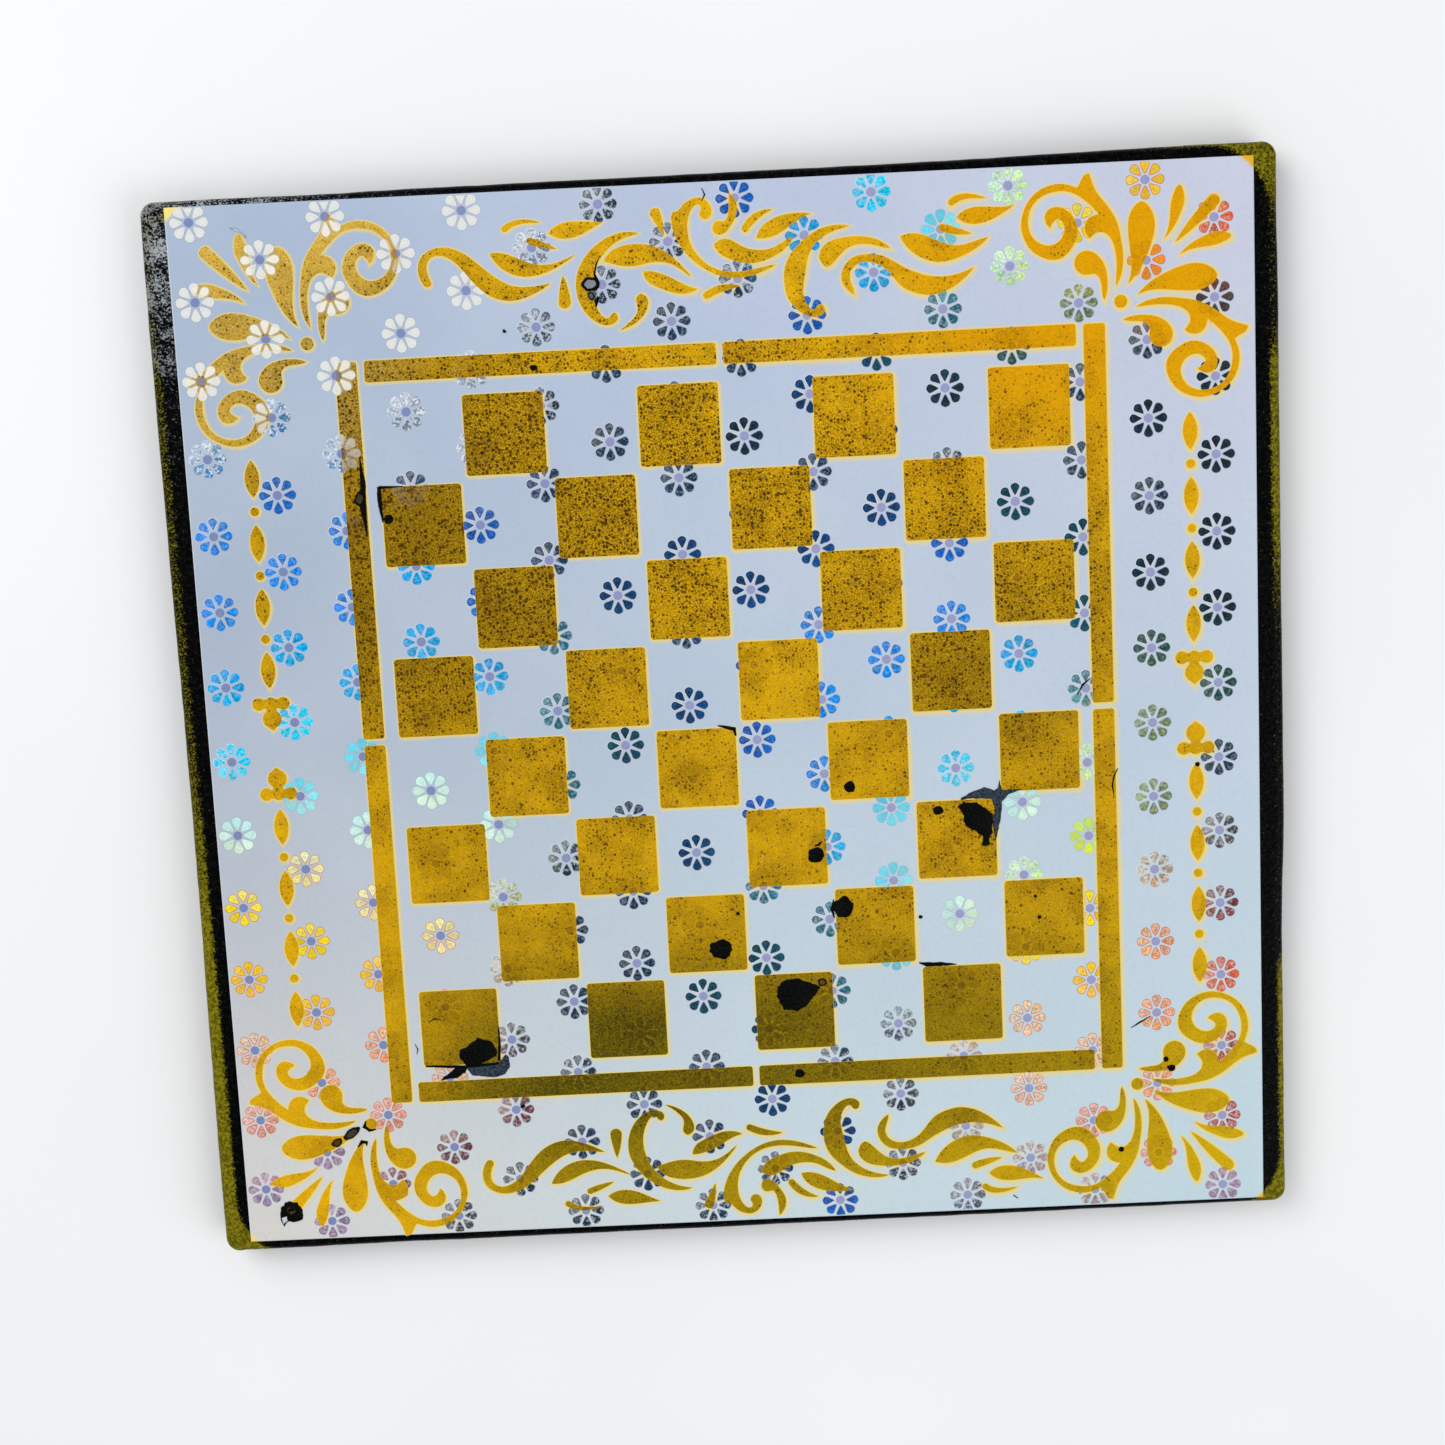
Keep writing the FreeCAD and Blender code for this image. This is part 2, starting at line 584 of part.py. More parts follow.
sub_parts = [
    make_board_panel(),
    make_daisy_film(),
    make_gold_squares(),
    make_gold_border_bars(),
    make_corner_ornament("gold_corner_back_right", False, False),
    make_corner_ornament("gold_corner_back_left", True, False),
    slip(make_corner_ornament("gold_corner_front_right", False, True),
         "dims.front_right_slip_x"),
    slip(make_corner_ornament("gold_corner_front_left", True, True),
         "dims.front_left_slip_x", "dims.front_left_slip_y"),
    make_garland("gold_garland_back", False),
    make_garland("gold_garland_front", True),
    make_side_chain("gold_chain_right", False),
    make_side_chain("gold_chain_left", True),
]

doc.recompute()
for item in doc.Objects:
    for bad in ("Invalid", "Error"):
        if bad in item.State:
            raise RuntimeError(f"{item.Name} is {item.State}")

os.makedirs("parts", exist_ok=True)
for sub_part in sub_parts:
    shape = sub_part.Shape
    if shape.isNull() or not shape.isValid():
        raise RuntimeError(f"{sub_part.Label} has no valid shape")
    box = shape.BoundBox
    print(f"{sub_part.Label}: {len(shape.Solids)} solids, {shape.Volume:.1f} mm3, "
          f"x {box.XMin:.2f} to {box.XMax:.2f}, y {box.YMin:.2f} to {box.YMax:.2f}, "
          f"z {box.ZMin:.2f} to {box.ZMax:.2f}")
    shape.exportStep(f"parts/{sub_part.Label}.step")
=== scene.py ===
"""Looks of a hand-painted draughts board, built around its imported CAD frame.

A gloss black panel carries a pearly film printed with foil daisies. Gold paint was sprayed on it
through a stencil, and black paint dripped on both. Meshes are in metres in the row frame. Plan
positions in this file are in millimetres from the middle of the stencilled grid.
"""
import math
import random
from functools import partialmethod

import bmesh
import bpy
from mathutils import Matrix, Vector, noise
from mathutils.geometry import delaunay_2d_cdt
from mathutils.kdtree import KDTree


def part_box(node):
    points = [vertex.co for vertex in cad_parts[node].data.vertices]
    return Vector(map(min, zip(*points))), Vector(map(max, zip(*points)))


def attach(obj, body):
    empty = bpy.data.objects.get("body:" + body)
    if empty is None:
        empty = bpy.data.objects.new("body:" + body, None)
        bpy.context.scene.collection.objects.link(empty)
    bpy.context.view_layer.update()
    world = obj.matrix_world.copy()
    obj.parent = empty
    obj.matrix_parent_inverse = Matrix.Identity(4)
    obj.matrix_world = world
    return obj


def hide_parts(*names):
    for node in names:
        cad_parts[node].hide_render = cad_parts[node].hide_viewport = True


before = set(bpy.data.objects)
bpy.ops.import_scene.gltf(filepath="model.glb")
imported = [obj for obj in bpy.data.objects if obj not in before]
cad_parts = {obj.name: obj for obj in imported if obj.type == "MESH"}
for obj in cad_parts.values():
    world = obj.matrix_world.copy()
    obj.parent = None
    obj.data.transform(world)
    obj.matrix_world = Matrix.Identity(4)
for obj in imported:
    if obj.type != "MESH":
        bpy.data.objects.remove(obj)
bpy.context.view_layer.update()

MM = 0.001
panel_low, panel_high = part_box("board_panel")
film_low, film_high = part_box("daisy_film")
grid_low, grid_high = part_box("gold_squares")
GRID_MIDDLE = (grid_low + grid_high) / 2
PANEL_TOP = panel_high.z / MM
FILM_TOP = film_high.z / MM
GOLD_TOP = grid_high.z / MM
GOLD_NODES = sorted(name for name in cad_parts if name.startswith("gold_"))


# --- Colours and values that change over the board ---

def srgb(red, green, blue):
    """A colour given as a screen shows it, 0 to 255, as linear light."""
    def linear(value):
        share = value / 255
        return share / 12.92 if share <= 0.04045 else ((share + 0.055) / 1.055) ** 2.4
    return Vector((linear(red), linear(green), linear(blue)))


def smooth(value, low, high):
    """0 below low, 1 above high, and a soft step between."""
    share = min(1.0, max(0.0, (value - low) / (high - low)))
    return share * share * (3 - 2 * share)


def sample(rows, x, y, reach):
    """A table's value at a place, blended from its four nearest entries.

    The table covers the square from -reach to reach, and its first row is the back one.
    """
    def entry_before(share, count):
        at = min(max(share * (count - 1), 0.0), count - 1.001)
        return int(at), at % 1

    i, s = entry_before((x + reach) / (2 * reach), len(rows[0]))
    j, t = entry_before((reach - y) / (2 * reach), len(rows))
    back = rows[j][i] * (1 - s) + rows[j][i + 1] * s
    front = rows[j + 1][i] * (1 - s) + rows[j + 1][i + 1] * s
    return back * (1 - t) + front * t


def digits(table):
    """Lines of digits as rows of shares from 0 to 0.9."""
    return [[int(c) / 10 for c in row] for row in table.split()]


TABLE_REACH = 162.5

# How thickly black paint dust lies on the gold: one digit for each 25 mm square.
SPECKS = digits("""
22222221100000
22233322211000
34555544322000
23898876543200
23998876654300
23888765566400
12665543475300
01343432344200
01123322344200
00122323333200
00112333333200
00122222222100
00011111111000
00011111111000
""")

# How much an even black mist turns the gold to olive.
MIST = digits("""
00000000000000
11111000000000
12331000000000
12443110000100
12554211111100
12554211112210
12443211255210
11232222223210
11232222223210
11233333333210
01268988664310
01479887765310
00125544321100
00124554332100
""")

TINT_REACH = 150
FILM_TINTS = [
    [srgb(168, 186, 210), srgb(189, 201, 225), srgb(210, 213, 231)],
    [srgb(178, 189, 205), srgb(190, 206, 222), srgb(198, 212, 228)],
    [srgb(223, 219, 212), srgb(208, 224, 229), srgb(197, 221, 228)],
]


def film_tint(x, y):
    return sample(FILM_TINTS, x, y, TINT_REACH)


# --- The foil daisies' lattice ---

DAISY_ORIGIN = Vector((-148.9, -47.8))
DAISY_STEP = Vector((19.23, 22.0))
DAISY_TURN = math.radians(-0.42)
# The film's stretch: how far a daisy 1 mm from the grid's middle line is shifted back.
FILM_STRETCH = 0.8 / 150 ** 2
DAISY_COLUMNS = 16
TOP_ROW = 9
PETALS = 8
# A petal's ends, its middle, and the widest place with half of the width there.
PETAL_START = 1.6
PETAL_END = 5.55
PETAL_MIDDLE = 3.9
PETAL_SHOULDER = 4.15
PETAL_HALF = 1.4
DISC_RADIUS = 1.28

# Foil colours by letter. The light that the foil splits gives each daisy its own.
FOIL = {letter: srgb(*values) for letter, values in {
    "W": (238, 238, 232), "w": (138, 152, 166), "q": (84, 142, 186), "g": (84, 100, 118),
    "k": (30, 46, 60), "s": (14, 46, 74), "x": (20, 34, 44), "n": (10, 62, 112), "b": (0, 92, 190),
    "B": (0, 138, 238), "a": (0, 172, 236), "c": (10, 218, 255), "C": (130, 226, 242),
    "t": (26, 112, 128), "T": (18, 70, 86), "m": (222, 255, 238), "G": (214, 252, 178),
    "e": (28, 78, 58), "y": (226, 250, 90), "Y": (255, 232, 40), "F": (255, 246, 180),
    "O": (255, 208, 64), "o": (255, 158, 48), "h": (255, 206, 164), "S": (255, 172, 116),
    "R": (240, 108, 68), "p": (246, 160, 136), "P": (190, 96, 84), "M": (128, 56, 54),
    "d": (90, 68, 54), "u": (188, 160, 132), "U": (78, 76, 70), "z": (188, 192, 126),
    "L": (122, 140, 80), "i": (168, 146, 140), "V": (172, 138, 166), "v": (110, 100, 184),
    "l": (96, 96, 120),
}.items()}

# One letter for each daisy, from the back row. In the first and last row only every other is there.
DAISIES = """
WWWWWwkkbbccGGOO
WWWWWwkkkaaCGYoR
WWWWwgsssbTteLsd
qqqwwkssxnnxxsxx
BbBsbsssssnkTssx
BBBabsnnnnbbTTxx
aaaaatssbBBBaTex
ccCCCtTnbBaactLe
mCmmmtssbBCcmGLs
YFFyzksntaCmGyuU
OYOFusssTtCmYYSM
hOSSUssTTtgFhOSR
pSphMkssnkkuhhSP
VVMMksssknkuippP
vVlUsknkbbggiiVV
""".split()
# Foils that are streaked with white, and how strongly.
STREAKS = {letter: share for share, letters in (
    (0.8, "wq"), (0.5, "gzui"), (0.4, "kUP"), (0.35, "h"), (0.3, "GRpSM"), (0.25, "LV"),
    (0.2, "ct"), (0.15, "s"), (0.12, "Ba"), (0.1, "e"), (0.05, "b"),
) for letter in letters}
# White foil is even, and these letters have a rim in a warm colour.
PLAIN = "W"
WARM = "YOohSRpPF"
BOTTOM_ROW = TOP_ROW + 1 - len(DAISIES)


def around(centre, u, v, turn):
    """The place u along and v across from centre, on a line turned anticlockwise."""
    cosine = math.cos(turn)
    sine = math.sin(turn)
    return centre.x + u * cosine - v * sine, centre.y + u * sine + v * cosine


def daisy_centre(column, row):
    """The middle of a daisy. Odd columns sit half a step further back."""
    v = DAISY_STEP.y * (row + (0.5 if column % 2 else 0.0))
    place = Vector(around(DAISY_ORIGIN, DAISY_STEP.x * column, v, DAISY_TURN))
    place.y += FILM_STRETCH * place.y ** 2
    return place


def daisy_colour(column, row):
    line = DAISIES[min(max(TOP_ROW - row, 0), len(DAISIES) - 1)]
    return FOIL[line[min(max(column, 0), DAISY_COLUMNS - 1)]]


def daisy_is_printed(column, row):
    """The first row has even columns only, and the last one odd columns only."""
    if row == TOP_ROW:
        return column % 2 == 0
    if row == BOTTOM_ROW:
        return column % 2 == 1
    return True


# --- Mesh building ---

def to_plan(x, y):
    """Row metres as plan millimetres from the grid's middle."""
    return Vector(((x - GRID_MIDDLE.x) / MM, (y - GRID_MIDDLE.y) / MM))


def pairs(loop):
    """Each item of a closed loop with the one after it."""
    return zip(loop, loop[1:] + loop[:1])


class Piece:
    """Collects points, their values and faces, and turns them into an object."""

    def __init__(self, name, numbers=(), colours=()):
        self.name = name
        self.points = []
        self.faces = []
        self.flat_faces = []
        self.numbers = {key: [] for key in numbers}
        self.colours = {key: [] for key in colours}

    def point(self, x, y, z, **values):
        """Adds a point in plan millimetres from the grid's middle. z is from the underside."""
        self.points.append((GRID_MIDDLE.x + x * MM, GRID_MIDDLE.y + y * MM, z * MM))
        for key, column in self.numbers.items():
            column.append(values.get(key, 0.0))
        for key, column in self.colours.items():
            column.extend((*values[key], 1.0))
        return len(self.points) - 1

    def loop_faces(self, lower, upper):
        """Faces between two closed loops of as many points, anticlockwise seen from outside."""
        for (a, b), (c, d) in zip(pairs(lower), pairs(upper)):
            self.faces.append((a, b, d, c))

    def stack(self, loops, middle=None):
        """Walls through loops from the foot up, the face under them and a fan to a middle."""
        for lower, upper in zip(loops, loops[1:]):
            self.loop_faces(lower, upper)
        if middle is not None:
            self.faces.extend((a, b, middle) for a, b in pairs(loops[-1]))
        self.flat_faces.append(loops[0][::-1])

    def build(self, material, slot, *nodes):
        mesh = bpy.data.meshes.new(self.name)
        mesh.from_pydata(self.points, [], self.faces + self.flat_faces)
        for columns, kind, field in ((self.numbers, "FLOAT", "value"),
                                     (self.colours, "FLOAT_COLOR", "color")):
            for key, column in columns.items():
                mesh.attributes.new(key, kind, "POINT").data.foreach_set(field, column)
        smooth_faces = [True] * len(self.faces) + [False] * len(self.flat_faces)
        mesh.polygons.foreach_set("use_smooth", smooth_faces)
        mesh.materials.append(material)
        mesh.validate()
        mesh.update()
        piece = bpy.data.objects.new(self.name, mesh)
        bpy.context.scene.collection.objects.link(piece)
        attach(piece, "root")
        if nodes:
            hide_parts(*nodes)


# --- Materials ---

class Signal:
    """An output of a material's nodes. The usual operators work on it."""

    def __init__(self, finish, socket):
        self.finish = finish
        self.socket = socket

    def reckon(self, operation, *others):
        """A calculation on numbers, or on vectors if this is one."""
        wide = self.socket.type != "VALUE"
        kind = "ShaderNodeVectorMath" if wide else "ShaderNodeMath"
        output = "Vector" if wide and operation != "LENGTH" else "Value"
        return self.finish.node(kind, output, enumerate((self, *others)), operation=operation)

    __add__ = partialmethod(reckon, "ADD")
    __sub__ = partialmethod(reckon, "SUBTRACT")
    __mul__ = partialmethod(reckon, "MULTIPLY")
    __truediv__ = partialmethod(reckon, "DIVIDE")
    __abs__ = partialmethod(reckon, "ABSOLUTE")
    least = partialmethod(reckon, "MINIMUM")
    most = partialmethod(reckon, "MAXIMUM")
    above = partialmethod(reckon, "GREATER_THAN")
    length = partialmethod(reckon, "LENGTH")

    def parts(self):
        first = self.finish.node("ShaderNodeSeparateXYZ", "X", [(0, self)])
        return [Signal(self.finish, output) for output in first.socket.node.outputs]

    def step(self, low, high, first=0.0, last=1.0):
        """A soft step from first to last while this goes from low to high."""
        values = enumerate((self, low, high, first, last))
        return self.finish.node("ShaderNodeMapRange", "Result", values,
                                interpolation_type="SMOOTHSTEP")

    def blend(self, first, second):
        """The colour that lies this share of the way from first to second."""
        values = ((0, self), (6, first), (7, second))
        return self.finish.node("ShaderNodeMix", 2, values, data_type="RGBA")


class Finish:
    """A material's nodes under short names. Places in it are millimetres in the row frame."""

    def __init__(self, name, roughness, specular):
        self.material = bpy.data.materials.new(name)
        self.material.use_nodes = True
        self.tree = self.material.node_tree
        self.drive("Roughness", roughness)
        self.drive("Specular IOR Level", specular)
        metres = self.node("ShaderNodeTexCoord", "Object")
        self.place = metres * Vector((1 / MM, 1 / MM, 1 / MM))

    def node(self, kind, output, values=(), **settings):
        """Adds a node, gives it its inputs' values by name or number, and returns an output."""
        node = self.tree.nodes.new(kind)
        for key, value in settings.items():
            setattr(node, key, value)
        for key, value in values:
            self.put(node.inputs[key], value)
        return Signal(self, node.outputs[output])

    def put(self, socket, value):
        """Links a signal, or sets a number, vector or colour."""
        if isinstance(value, Signal):
            self.tree.links.new(value.socket, socket)
        elif isinstance(value, Vector) and socket.type == "RGBA":
            socket.default_value = (*value, 1.0)
        else:
            socket.default_value = value

    def drive(self, name, value):
        """Feeds an input of the shader."""
        self.put(self.tree.nodes["Principled BSDF"].inputs[name], value)

    def noise(self, scale, detail=2.0, roughness=0.5, place=None):
        """Cloudy noise about 0.5, with scale cells to a millimetre."""
        values = (("Vector", place or self.place), ("Scale", scale), ("Detail", detail),
                  ("Roughness", roughness))
        return self.node("ShaderNodeTexNoise", "Fac", values)

    def cells(self, scale, output="Distance"):
        """Distance to the nearest of many scattered points, or a random colour for each."""
        values = (("Vector", self.place), ("Scale", scale))
        return self.node("ShaderNodeTexVoronoi", output, values)

    def value(self, name, output="Fac"):
        """A value that is stored on the mesh's points or, with the output Color, a colour."""
        return self.node("ShaderNodeAttribute", output, attribute_name=name)

    def bump(self, height, distance, strength):
        values = (("Height", height), ("Distance", distance), ("Strength", strength))
        self.drive("Normal", self.node("ShaderNodeBump", "Normal", values))


# The stencil sheet kept the gold off a rounded rectangle. Its size, middle and corner radius.
STENCIL_HALF = Vector((157.0, 156.4, 0.0))
STENCIL_MIDDLE = Vector((GRID_MIDDLE.x / MM - 1.3, GRID_MIDDLE.y / MM + 0.5, 0.0))
STENCIL_RADIUS = 17.0


def outside_stencil(finish):
    """Distance outside the stencil sheet's outline in millimetres, negative inside it."""
    corner = STENCIL_HALF - Vector((STENCIL_RADIUS, STENCIL_RADIUS, 0.0))
    offset = abs((finish.place - STENCIL_MIDDLE) * Vector((1, 1, 0))) - corner
    outer = offset.most(Vector((0, 0, 0))).length()
    x, y, _ = offset.parts()
    return outer + x.most(y).least(0.0) - STENCIL_RADIUS


def daisy_marks(finish):
    """Petals, their outlines and the discs of the foil daisies under paint, each from 0 to 1."""
    origin = Vector((DAISY_ORIGIN.x + GRID_MIDDLE.x / MM, DAISY_ORIGIN.y + GRID_MIDDLE.y / MM, 0))
    stretch = finish.place * finish.place * Vector((0, FILM_STRETCH, 0))
    values = (("Vector", finish.place - stretch - origin), ("Angle", -DAISY_TURN))
    lattice = finish.node("ShaderNodeVectorRotate", "Vector", values, rotation_type="Z_AXIS")
    pitch = Vector((2 * DAISY_STEP.x, DAISY_STEP.y, 1))
    offsets = []
    for shift in (Vector((0.5, 0.5, 0.0)), Vector((0.0, 0.0, 0.0))):
        cell = (lattice / pitch + shift).reckon("FRACTION") - Vector((0.5, 0.5, 0))
        offsets.append(cell * Vector((pitch.x, pitch.y, 0)))
    first, second = (offset.length() for offset in offsets)
    radius = first.least(second)
    nearest = second.above(first).blend(offsets[1], offsets[0])
    x, y, _ = nearest.parts()
    sector = math.tau / PETALS
    turns = (y.reckon("ARCTAN2", x) / sector + PETALS + 0.5).reckon("FRACT")
    angle = (turns - 0.5) * sector
    along = radius * angle.reckon("COSINE")
    side = abs(radius * angle.reckon("SINE"))
    flare = (along - PETAL_START) * 0.4 + 0.45
    tip = ((along - PETAL_SHOULDER) / (PETAL_END - PETAL_SHOULDER)).most(0.0)
    tip = (tip * tip * -1.0 + 1.0).most(0.0).reckon("SQRT") * PETAL_HALF
    margin = flare.least(tip) - side
    begun = along.step(PETAL_START - 0.1, PETAL_START + 0.2)
    ended = radius.step(PETAL_END + 0.05, PETAL_END + 0.35, 1.0, 0.0)
    line = abs(margin).step(0.12, 0.34, 1.0, 0.0) * begun * ended
    disc = radius.step(DISC_RADIUS - 0.2, DISC_RADIUS + 0.1, 1.0, 0.0)
    return margin.step(0.0, 0.2) * begun, line, disc


def make_black_gloss():
    """Black gloss paint, sprayed coarsely, with gold overspray outside the stencil, and pale grey
    specks painted toward the back-left corner as highlights on its grain.
    """
    finish = Finish("black_gloss_paint", roughness=0.26, specular=0.04)
    grain = finish.noise(0.9, 3.0, 0.6)
    fine = finish.noise(1.7, 2.0, 0.6)
    worn = finish.value("worn")
    black = grain.step(0.45, 0.68).blend(srgb(1, 1, 2), srgb(11, 14, 16))
    # Pale grey specks toward the back-left corner: painted highlights on the paint's grain.
    glint = (finish.noise(0.22) * 0.5 + fine + worn * 0.22).step(0.9, 1.1) * worn
    black = glint.blend(black, srgb(168, 174, 178))
    edge = outside_stencil(finish).step(-0.8, 1.6) * finish.value("overspray")
    spray = (edge + (fine - 0.5) * 2.2).step(0.3, 0.9)
    olive = grain.step(0.4, 0.6).blend(srgb(92, 88, 10), srgb(140, 128, 18))
    finish.drive("Base Color", spray.blend(black, olive))
    finish.drive("Roughness", spray.step(0.0, 1.0, 0.2, 0.45))
    finish.bump(grain + fine * 0.5, 0.00022, 0.7)
    return finish.material


FILM_ROUGHNESS = 0.34
FILM_SPECULAR = 0.3


def pearl(finish, grain):
    """The bare film's colour: its tint with faint clouds and grain."""
    cloud = finish.noise(0.02, 3.0).step(0.35, 0.75, 0.0, 0.16)
    tint = cloud.blend(finish.value("tint", "Color"), srgb(226, 231, 240))
    return grain.step(0.4, 0.7, 0.0, 0.07).blend(tint, srgb(140, 152, 178))


def make_pearl_film():
    """Pearly craft film with scuffs, and gold where the stencil's corners ended."""
    finish = Finish("pearl_film", roughness=FILM_ROUGHNESS, specular=FILM_SPECULAR)
    grain = finish.noise(1.1)
    scratches = finish.noise(0.8, 4.0, 0.7, finish.place * Vector((0.9, 0.16, 1.0)))
    worn = scratches.step(0.66, 0.74) * finish.value("scuffed") * 0.4
    tint = worn.blend(pearl(finish, grain), srgb(112, 120, 134))
    gold = (outside_stencil(finish) + finish.noise(1.6)).step(0.1, 1.3)
    x, _, _ = finish.place.parts()
    corner = x.step(-60, 60).blend(srgb(252, 226, 130), srgb(240, 182, 14))
    finish.drive("Base Color", gold.blend(tint, corner))
    finish.bump(grain, 0.00002, 0.5)
    return finish.material


def make_foil():
    """Diffraction foil. Each petal's colour is stored on its points."""
    finish = Finish("daisy_foil", roughness=0.3, specular=0.04)
    foil = finish.value("foil", "Color")
    grain = finish.value("grain")
    mottle = finish.noise(1.5, 3.0, 0.65)
    dark = mottle.step(0.34, 0.56, 1.0, 0.0) * grain * 0.75
    light = mottle.step(0.52, 0.7) * grain * 0.7
    glow = foil * Vector((1.3, 1.3, 1.3)) + Vector((0.008, 0.022, 0.034))
    colour = dark.blend(foil, foil * Vector((0.42, 0.5, 0.56)))
    colour = light.blend(colour, glow)
    flake = finish.noise(1.35).step(0.5, 0.6) * finish.value("streak")
    finish.drive("Base Color", flake.blend(colour, srgb(240, 244, 250)))
    finish.bump(mottle, 0.00006, 0.5)
    return finish.material


def dusted(finish, gold, amount, fine):
    """Gold under black dust, specks and a few larger drops, as thick as amount says."""
    gold = (amount * 0.14).blend(gold, srgb(110, 82, 6))
    dust = finish.noise(2.1, 1.0).step(0.4, 0.6, 1.0, 0.0) * amount.step(0.0, 0.8, 0.05, 0.82)
    gold = dust.blend(gold, srgb(104, 78, 4))
    chance = finish.cells(1.0, "Color").parts()[0]
    reach = chance.step(0.0, 1.0, 0.06, 0.5) * amount.step(-0.02, 0.12, 0.0, 0.66)
    reach = reach * amount.step(0.1, 0.8, 1.0, 1.7)
    ragged = (fine - 0.5) * 0.35 + finish.cells(1.0)
    speck = (reach - ragged).step(-0.04, 0.1) * amount.step(0.0, 0.7, 0.6, 0.92)
    gold = speck.blend(gold, srgb(72, 44, 2))
    chance = finish.cells(0.42, "Color").parts()[0]
    drop = finish.cells(0.42).step(0.12, 0.26, 0.85, 0.0) * amount.step(0.0, 0.3)
    drop = drop * chance.above(0.62)
    return drop.blend(gold, srgb(66, 44, 8))


def embossed(finish, gold, shine, mist):
    """Gold over the foil daisies, which show through it. Where shine is high, toward the back-left
    corner, the petals are painted white, a painted highlight.
    """
    show = finish.value("show")
    petal, line, disc = daisy_marks(finish)
    relief = shine.blend(gold * Vector((0.72, 0.66, 0.6)), srgb(252, 250, 240))
    gold = (petal * show).blend(gold, relief)
    seam = mist.blend(gold * Vector((0.42, 0.38, 0.4)), gold * Vector((1.7, 1.8, 2.0)))
    gold = (line * show).blend(gold, shine.blend(seam, srgb(190, 176, 140)))
    middle = shine.blend(srgb(88, 56, 14), srgb(132, 132, 166))
    return (disc * show).blend(gold, middle)


def make_gold_paint():
    """Gold spray paint: dusted with black, and feathered out over the film at its edges. Toward the
    back-left corner it is painted paler and glinting, a painted highlight.
    """
    finish = Finish("gold_spray_paint", roughness=0.42, specular=FILM_SPECULAR)
    shine = finish.value("shine")
    mist = finish.value("mist")
    wide = finish.noise(0.12)
    fine = finish.noise(1.9, 1.8)
    x, y, _ = finish.place.parts()
    gold = wide.step(0.35, 0.7).blend(srgb(246, 188, 0), srgb(230, 174, 0))
    # Paler gold and glints toward the back-left corner: a painted highlight.
    gold = shine.step(0.0, 1.0, 0.0, 0.5).blend(gold, srgb(228, 190, 90))
    glint = finish.noise(2.3, 1.0).step(0.5, 0.64) * shine.step(0.0, 1.0, 0.1, 0.8)
    gold = glint.blend(gold, srgb(244, 214, 130))
    front = y.step(-120, -36, 0.7, 0.0) * x.step(-110, -50)
    gold = front.blend(gold, srgb(214, 180, 10))
    back_right = y.step(40, 110) * x.step(20, 90)
    gold = back_right.blend(gold, srgb(240, 170, 0))
    gold = fine.step(0.35, 0.58, 0.3, 0.0).blend(gold, srgb(164, 116, 0))
    olive = (mist * fine.step(0.2, 0.75, 1.2, 0.85)).least(0.95)
    gold = olive.blend(gold, srgb(42, 54, 6))
    amount = finish.value("specks") + wide.step(0.3, 0.7, -0.12, 0.12)
    gold = embossed(finish, dusted(finish, gold, amount, fine), shine, mist)
    cover = finish.value("cover")
    gold = cover.step(0.6, 0.98).blend(srgb(250, 218, 74), gold)
    coat = ((fine - 0.5) * 0.7 + cover).step(0.0, 0.95)
    finish.drive("Base Color", coat.blend(pearl(finish, finish.noise(1.1)), gold))
    finish.drive("Roughness", coat.step(0.2, 1.0, FILM_ROUGHNESS, 0.5))
    finish.drive("Specular IOR Level", coat.step(0.2, 1.0, FILM_SPECULAR, 0.04))
    finish.bump(fine * coat, 0.00006, 0.6)
    return finish.material


def make_paint_drops():
    """Black drops that dried with a dull skin. torn is 1 for slate-grey film and 2 for pale."""
    finish = Finish("black_paint_drops", roughness=0.38, specular=0.05)
    grain = finish.noise(1.6, 4.0, 0.6)
    torn = finish.value("torn")
    black = grain.step(0.45, 0.7).blend(srgb(2, 3, 2), srgb(20, 24, 18))
    slate = grain.step(0.35, 0.65).blend(srgb(22, 32, 42), srgb(66, 78, 90))
    colour = torn.least(1.0).blend(black, slate)
    colour = torn.step(1.0, 2.0).blend(colour, srgb(206, 212, 216))
    colour = finish.value("rusty").blend(colour, srgb(96, 78, 28))
    finish.drive("Base Color", colour)
    finish.bump(grain, 0.0002, 0.8)
    return finish.material


def make_floor_finish():
    finish = Finish("pale_floor", roughness=0.75, specular=0.2)
    cloud = finish.noise(0.004, 3.0).step(0.3, 0.7)
    finish.drive("Base Color", cloud.blend(srgb(250, 250, 250), srgb(254, 254, 254)))
    return finish.material


black_gloss = make_black_gloss()
pearl_film = make_pearl_film()
foil = make_foil()
gold_paint = make_gold_paint()
paint_drops = make_paint_drops()


# --- The panel ---

PANEL_RADIUS = 4.0
PANEL_ROUND = 2.5
CORNER_STEPS = 10
EDGE_STEP = 2.0
SIDE_HEIGHTS = (4.2, 6.0, 7.8)
# Rings on the panel's top. The edge's unevenness has faded out at the last one.
TOP_INSETS = (3.4, 4.4, 5.4, 6.4, 7.6, 9.0)
PANEL_CENTRE = ((panel_low + panel_high) / 2 - GRID_MIDDLE) / MM
PANEL_SIZE = (panel_high - panel_low) / MM


def panel_loop(inset):
    """Places round the panel drawn in by inset, anticlockwise, each with its outward angle."""
    arc = max(PANEL_RADIUS - inset, 0.4)
    x = PANEL_SIZE.x / 2 - inset - arc
    y = PANEL_SIZE.y / 2 - inset - arc
    corners = [Vector(corner) for corner in ((x, -y), (x, y), (-x, y), (-x, -y))]
    places = []
    for k, corner in enumerate(corners):
        for n in range(CORNER_STEPS + 1):
            angle = math.pi / 2 * (k - 1 + n / CORNER_STEPS)
            places.append((*around(corner, arc, 0.0, angle), angle))
        length = (PANEL_SIZE.x if k % 2 else PANEL_SIZE.y) - 2 * PANEL_RADIUS
        steps = round(length / EDGE_STEP)
        for n in range(1, steps):
            place = corner.lerp(corners[(k + 1) % 4], n / steps)
            places.append((*around(place, arc, 0.0, angle), angle))
    return places


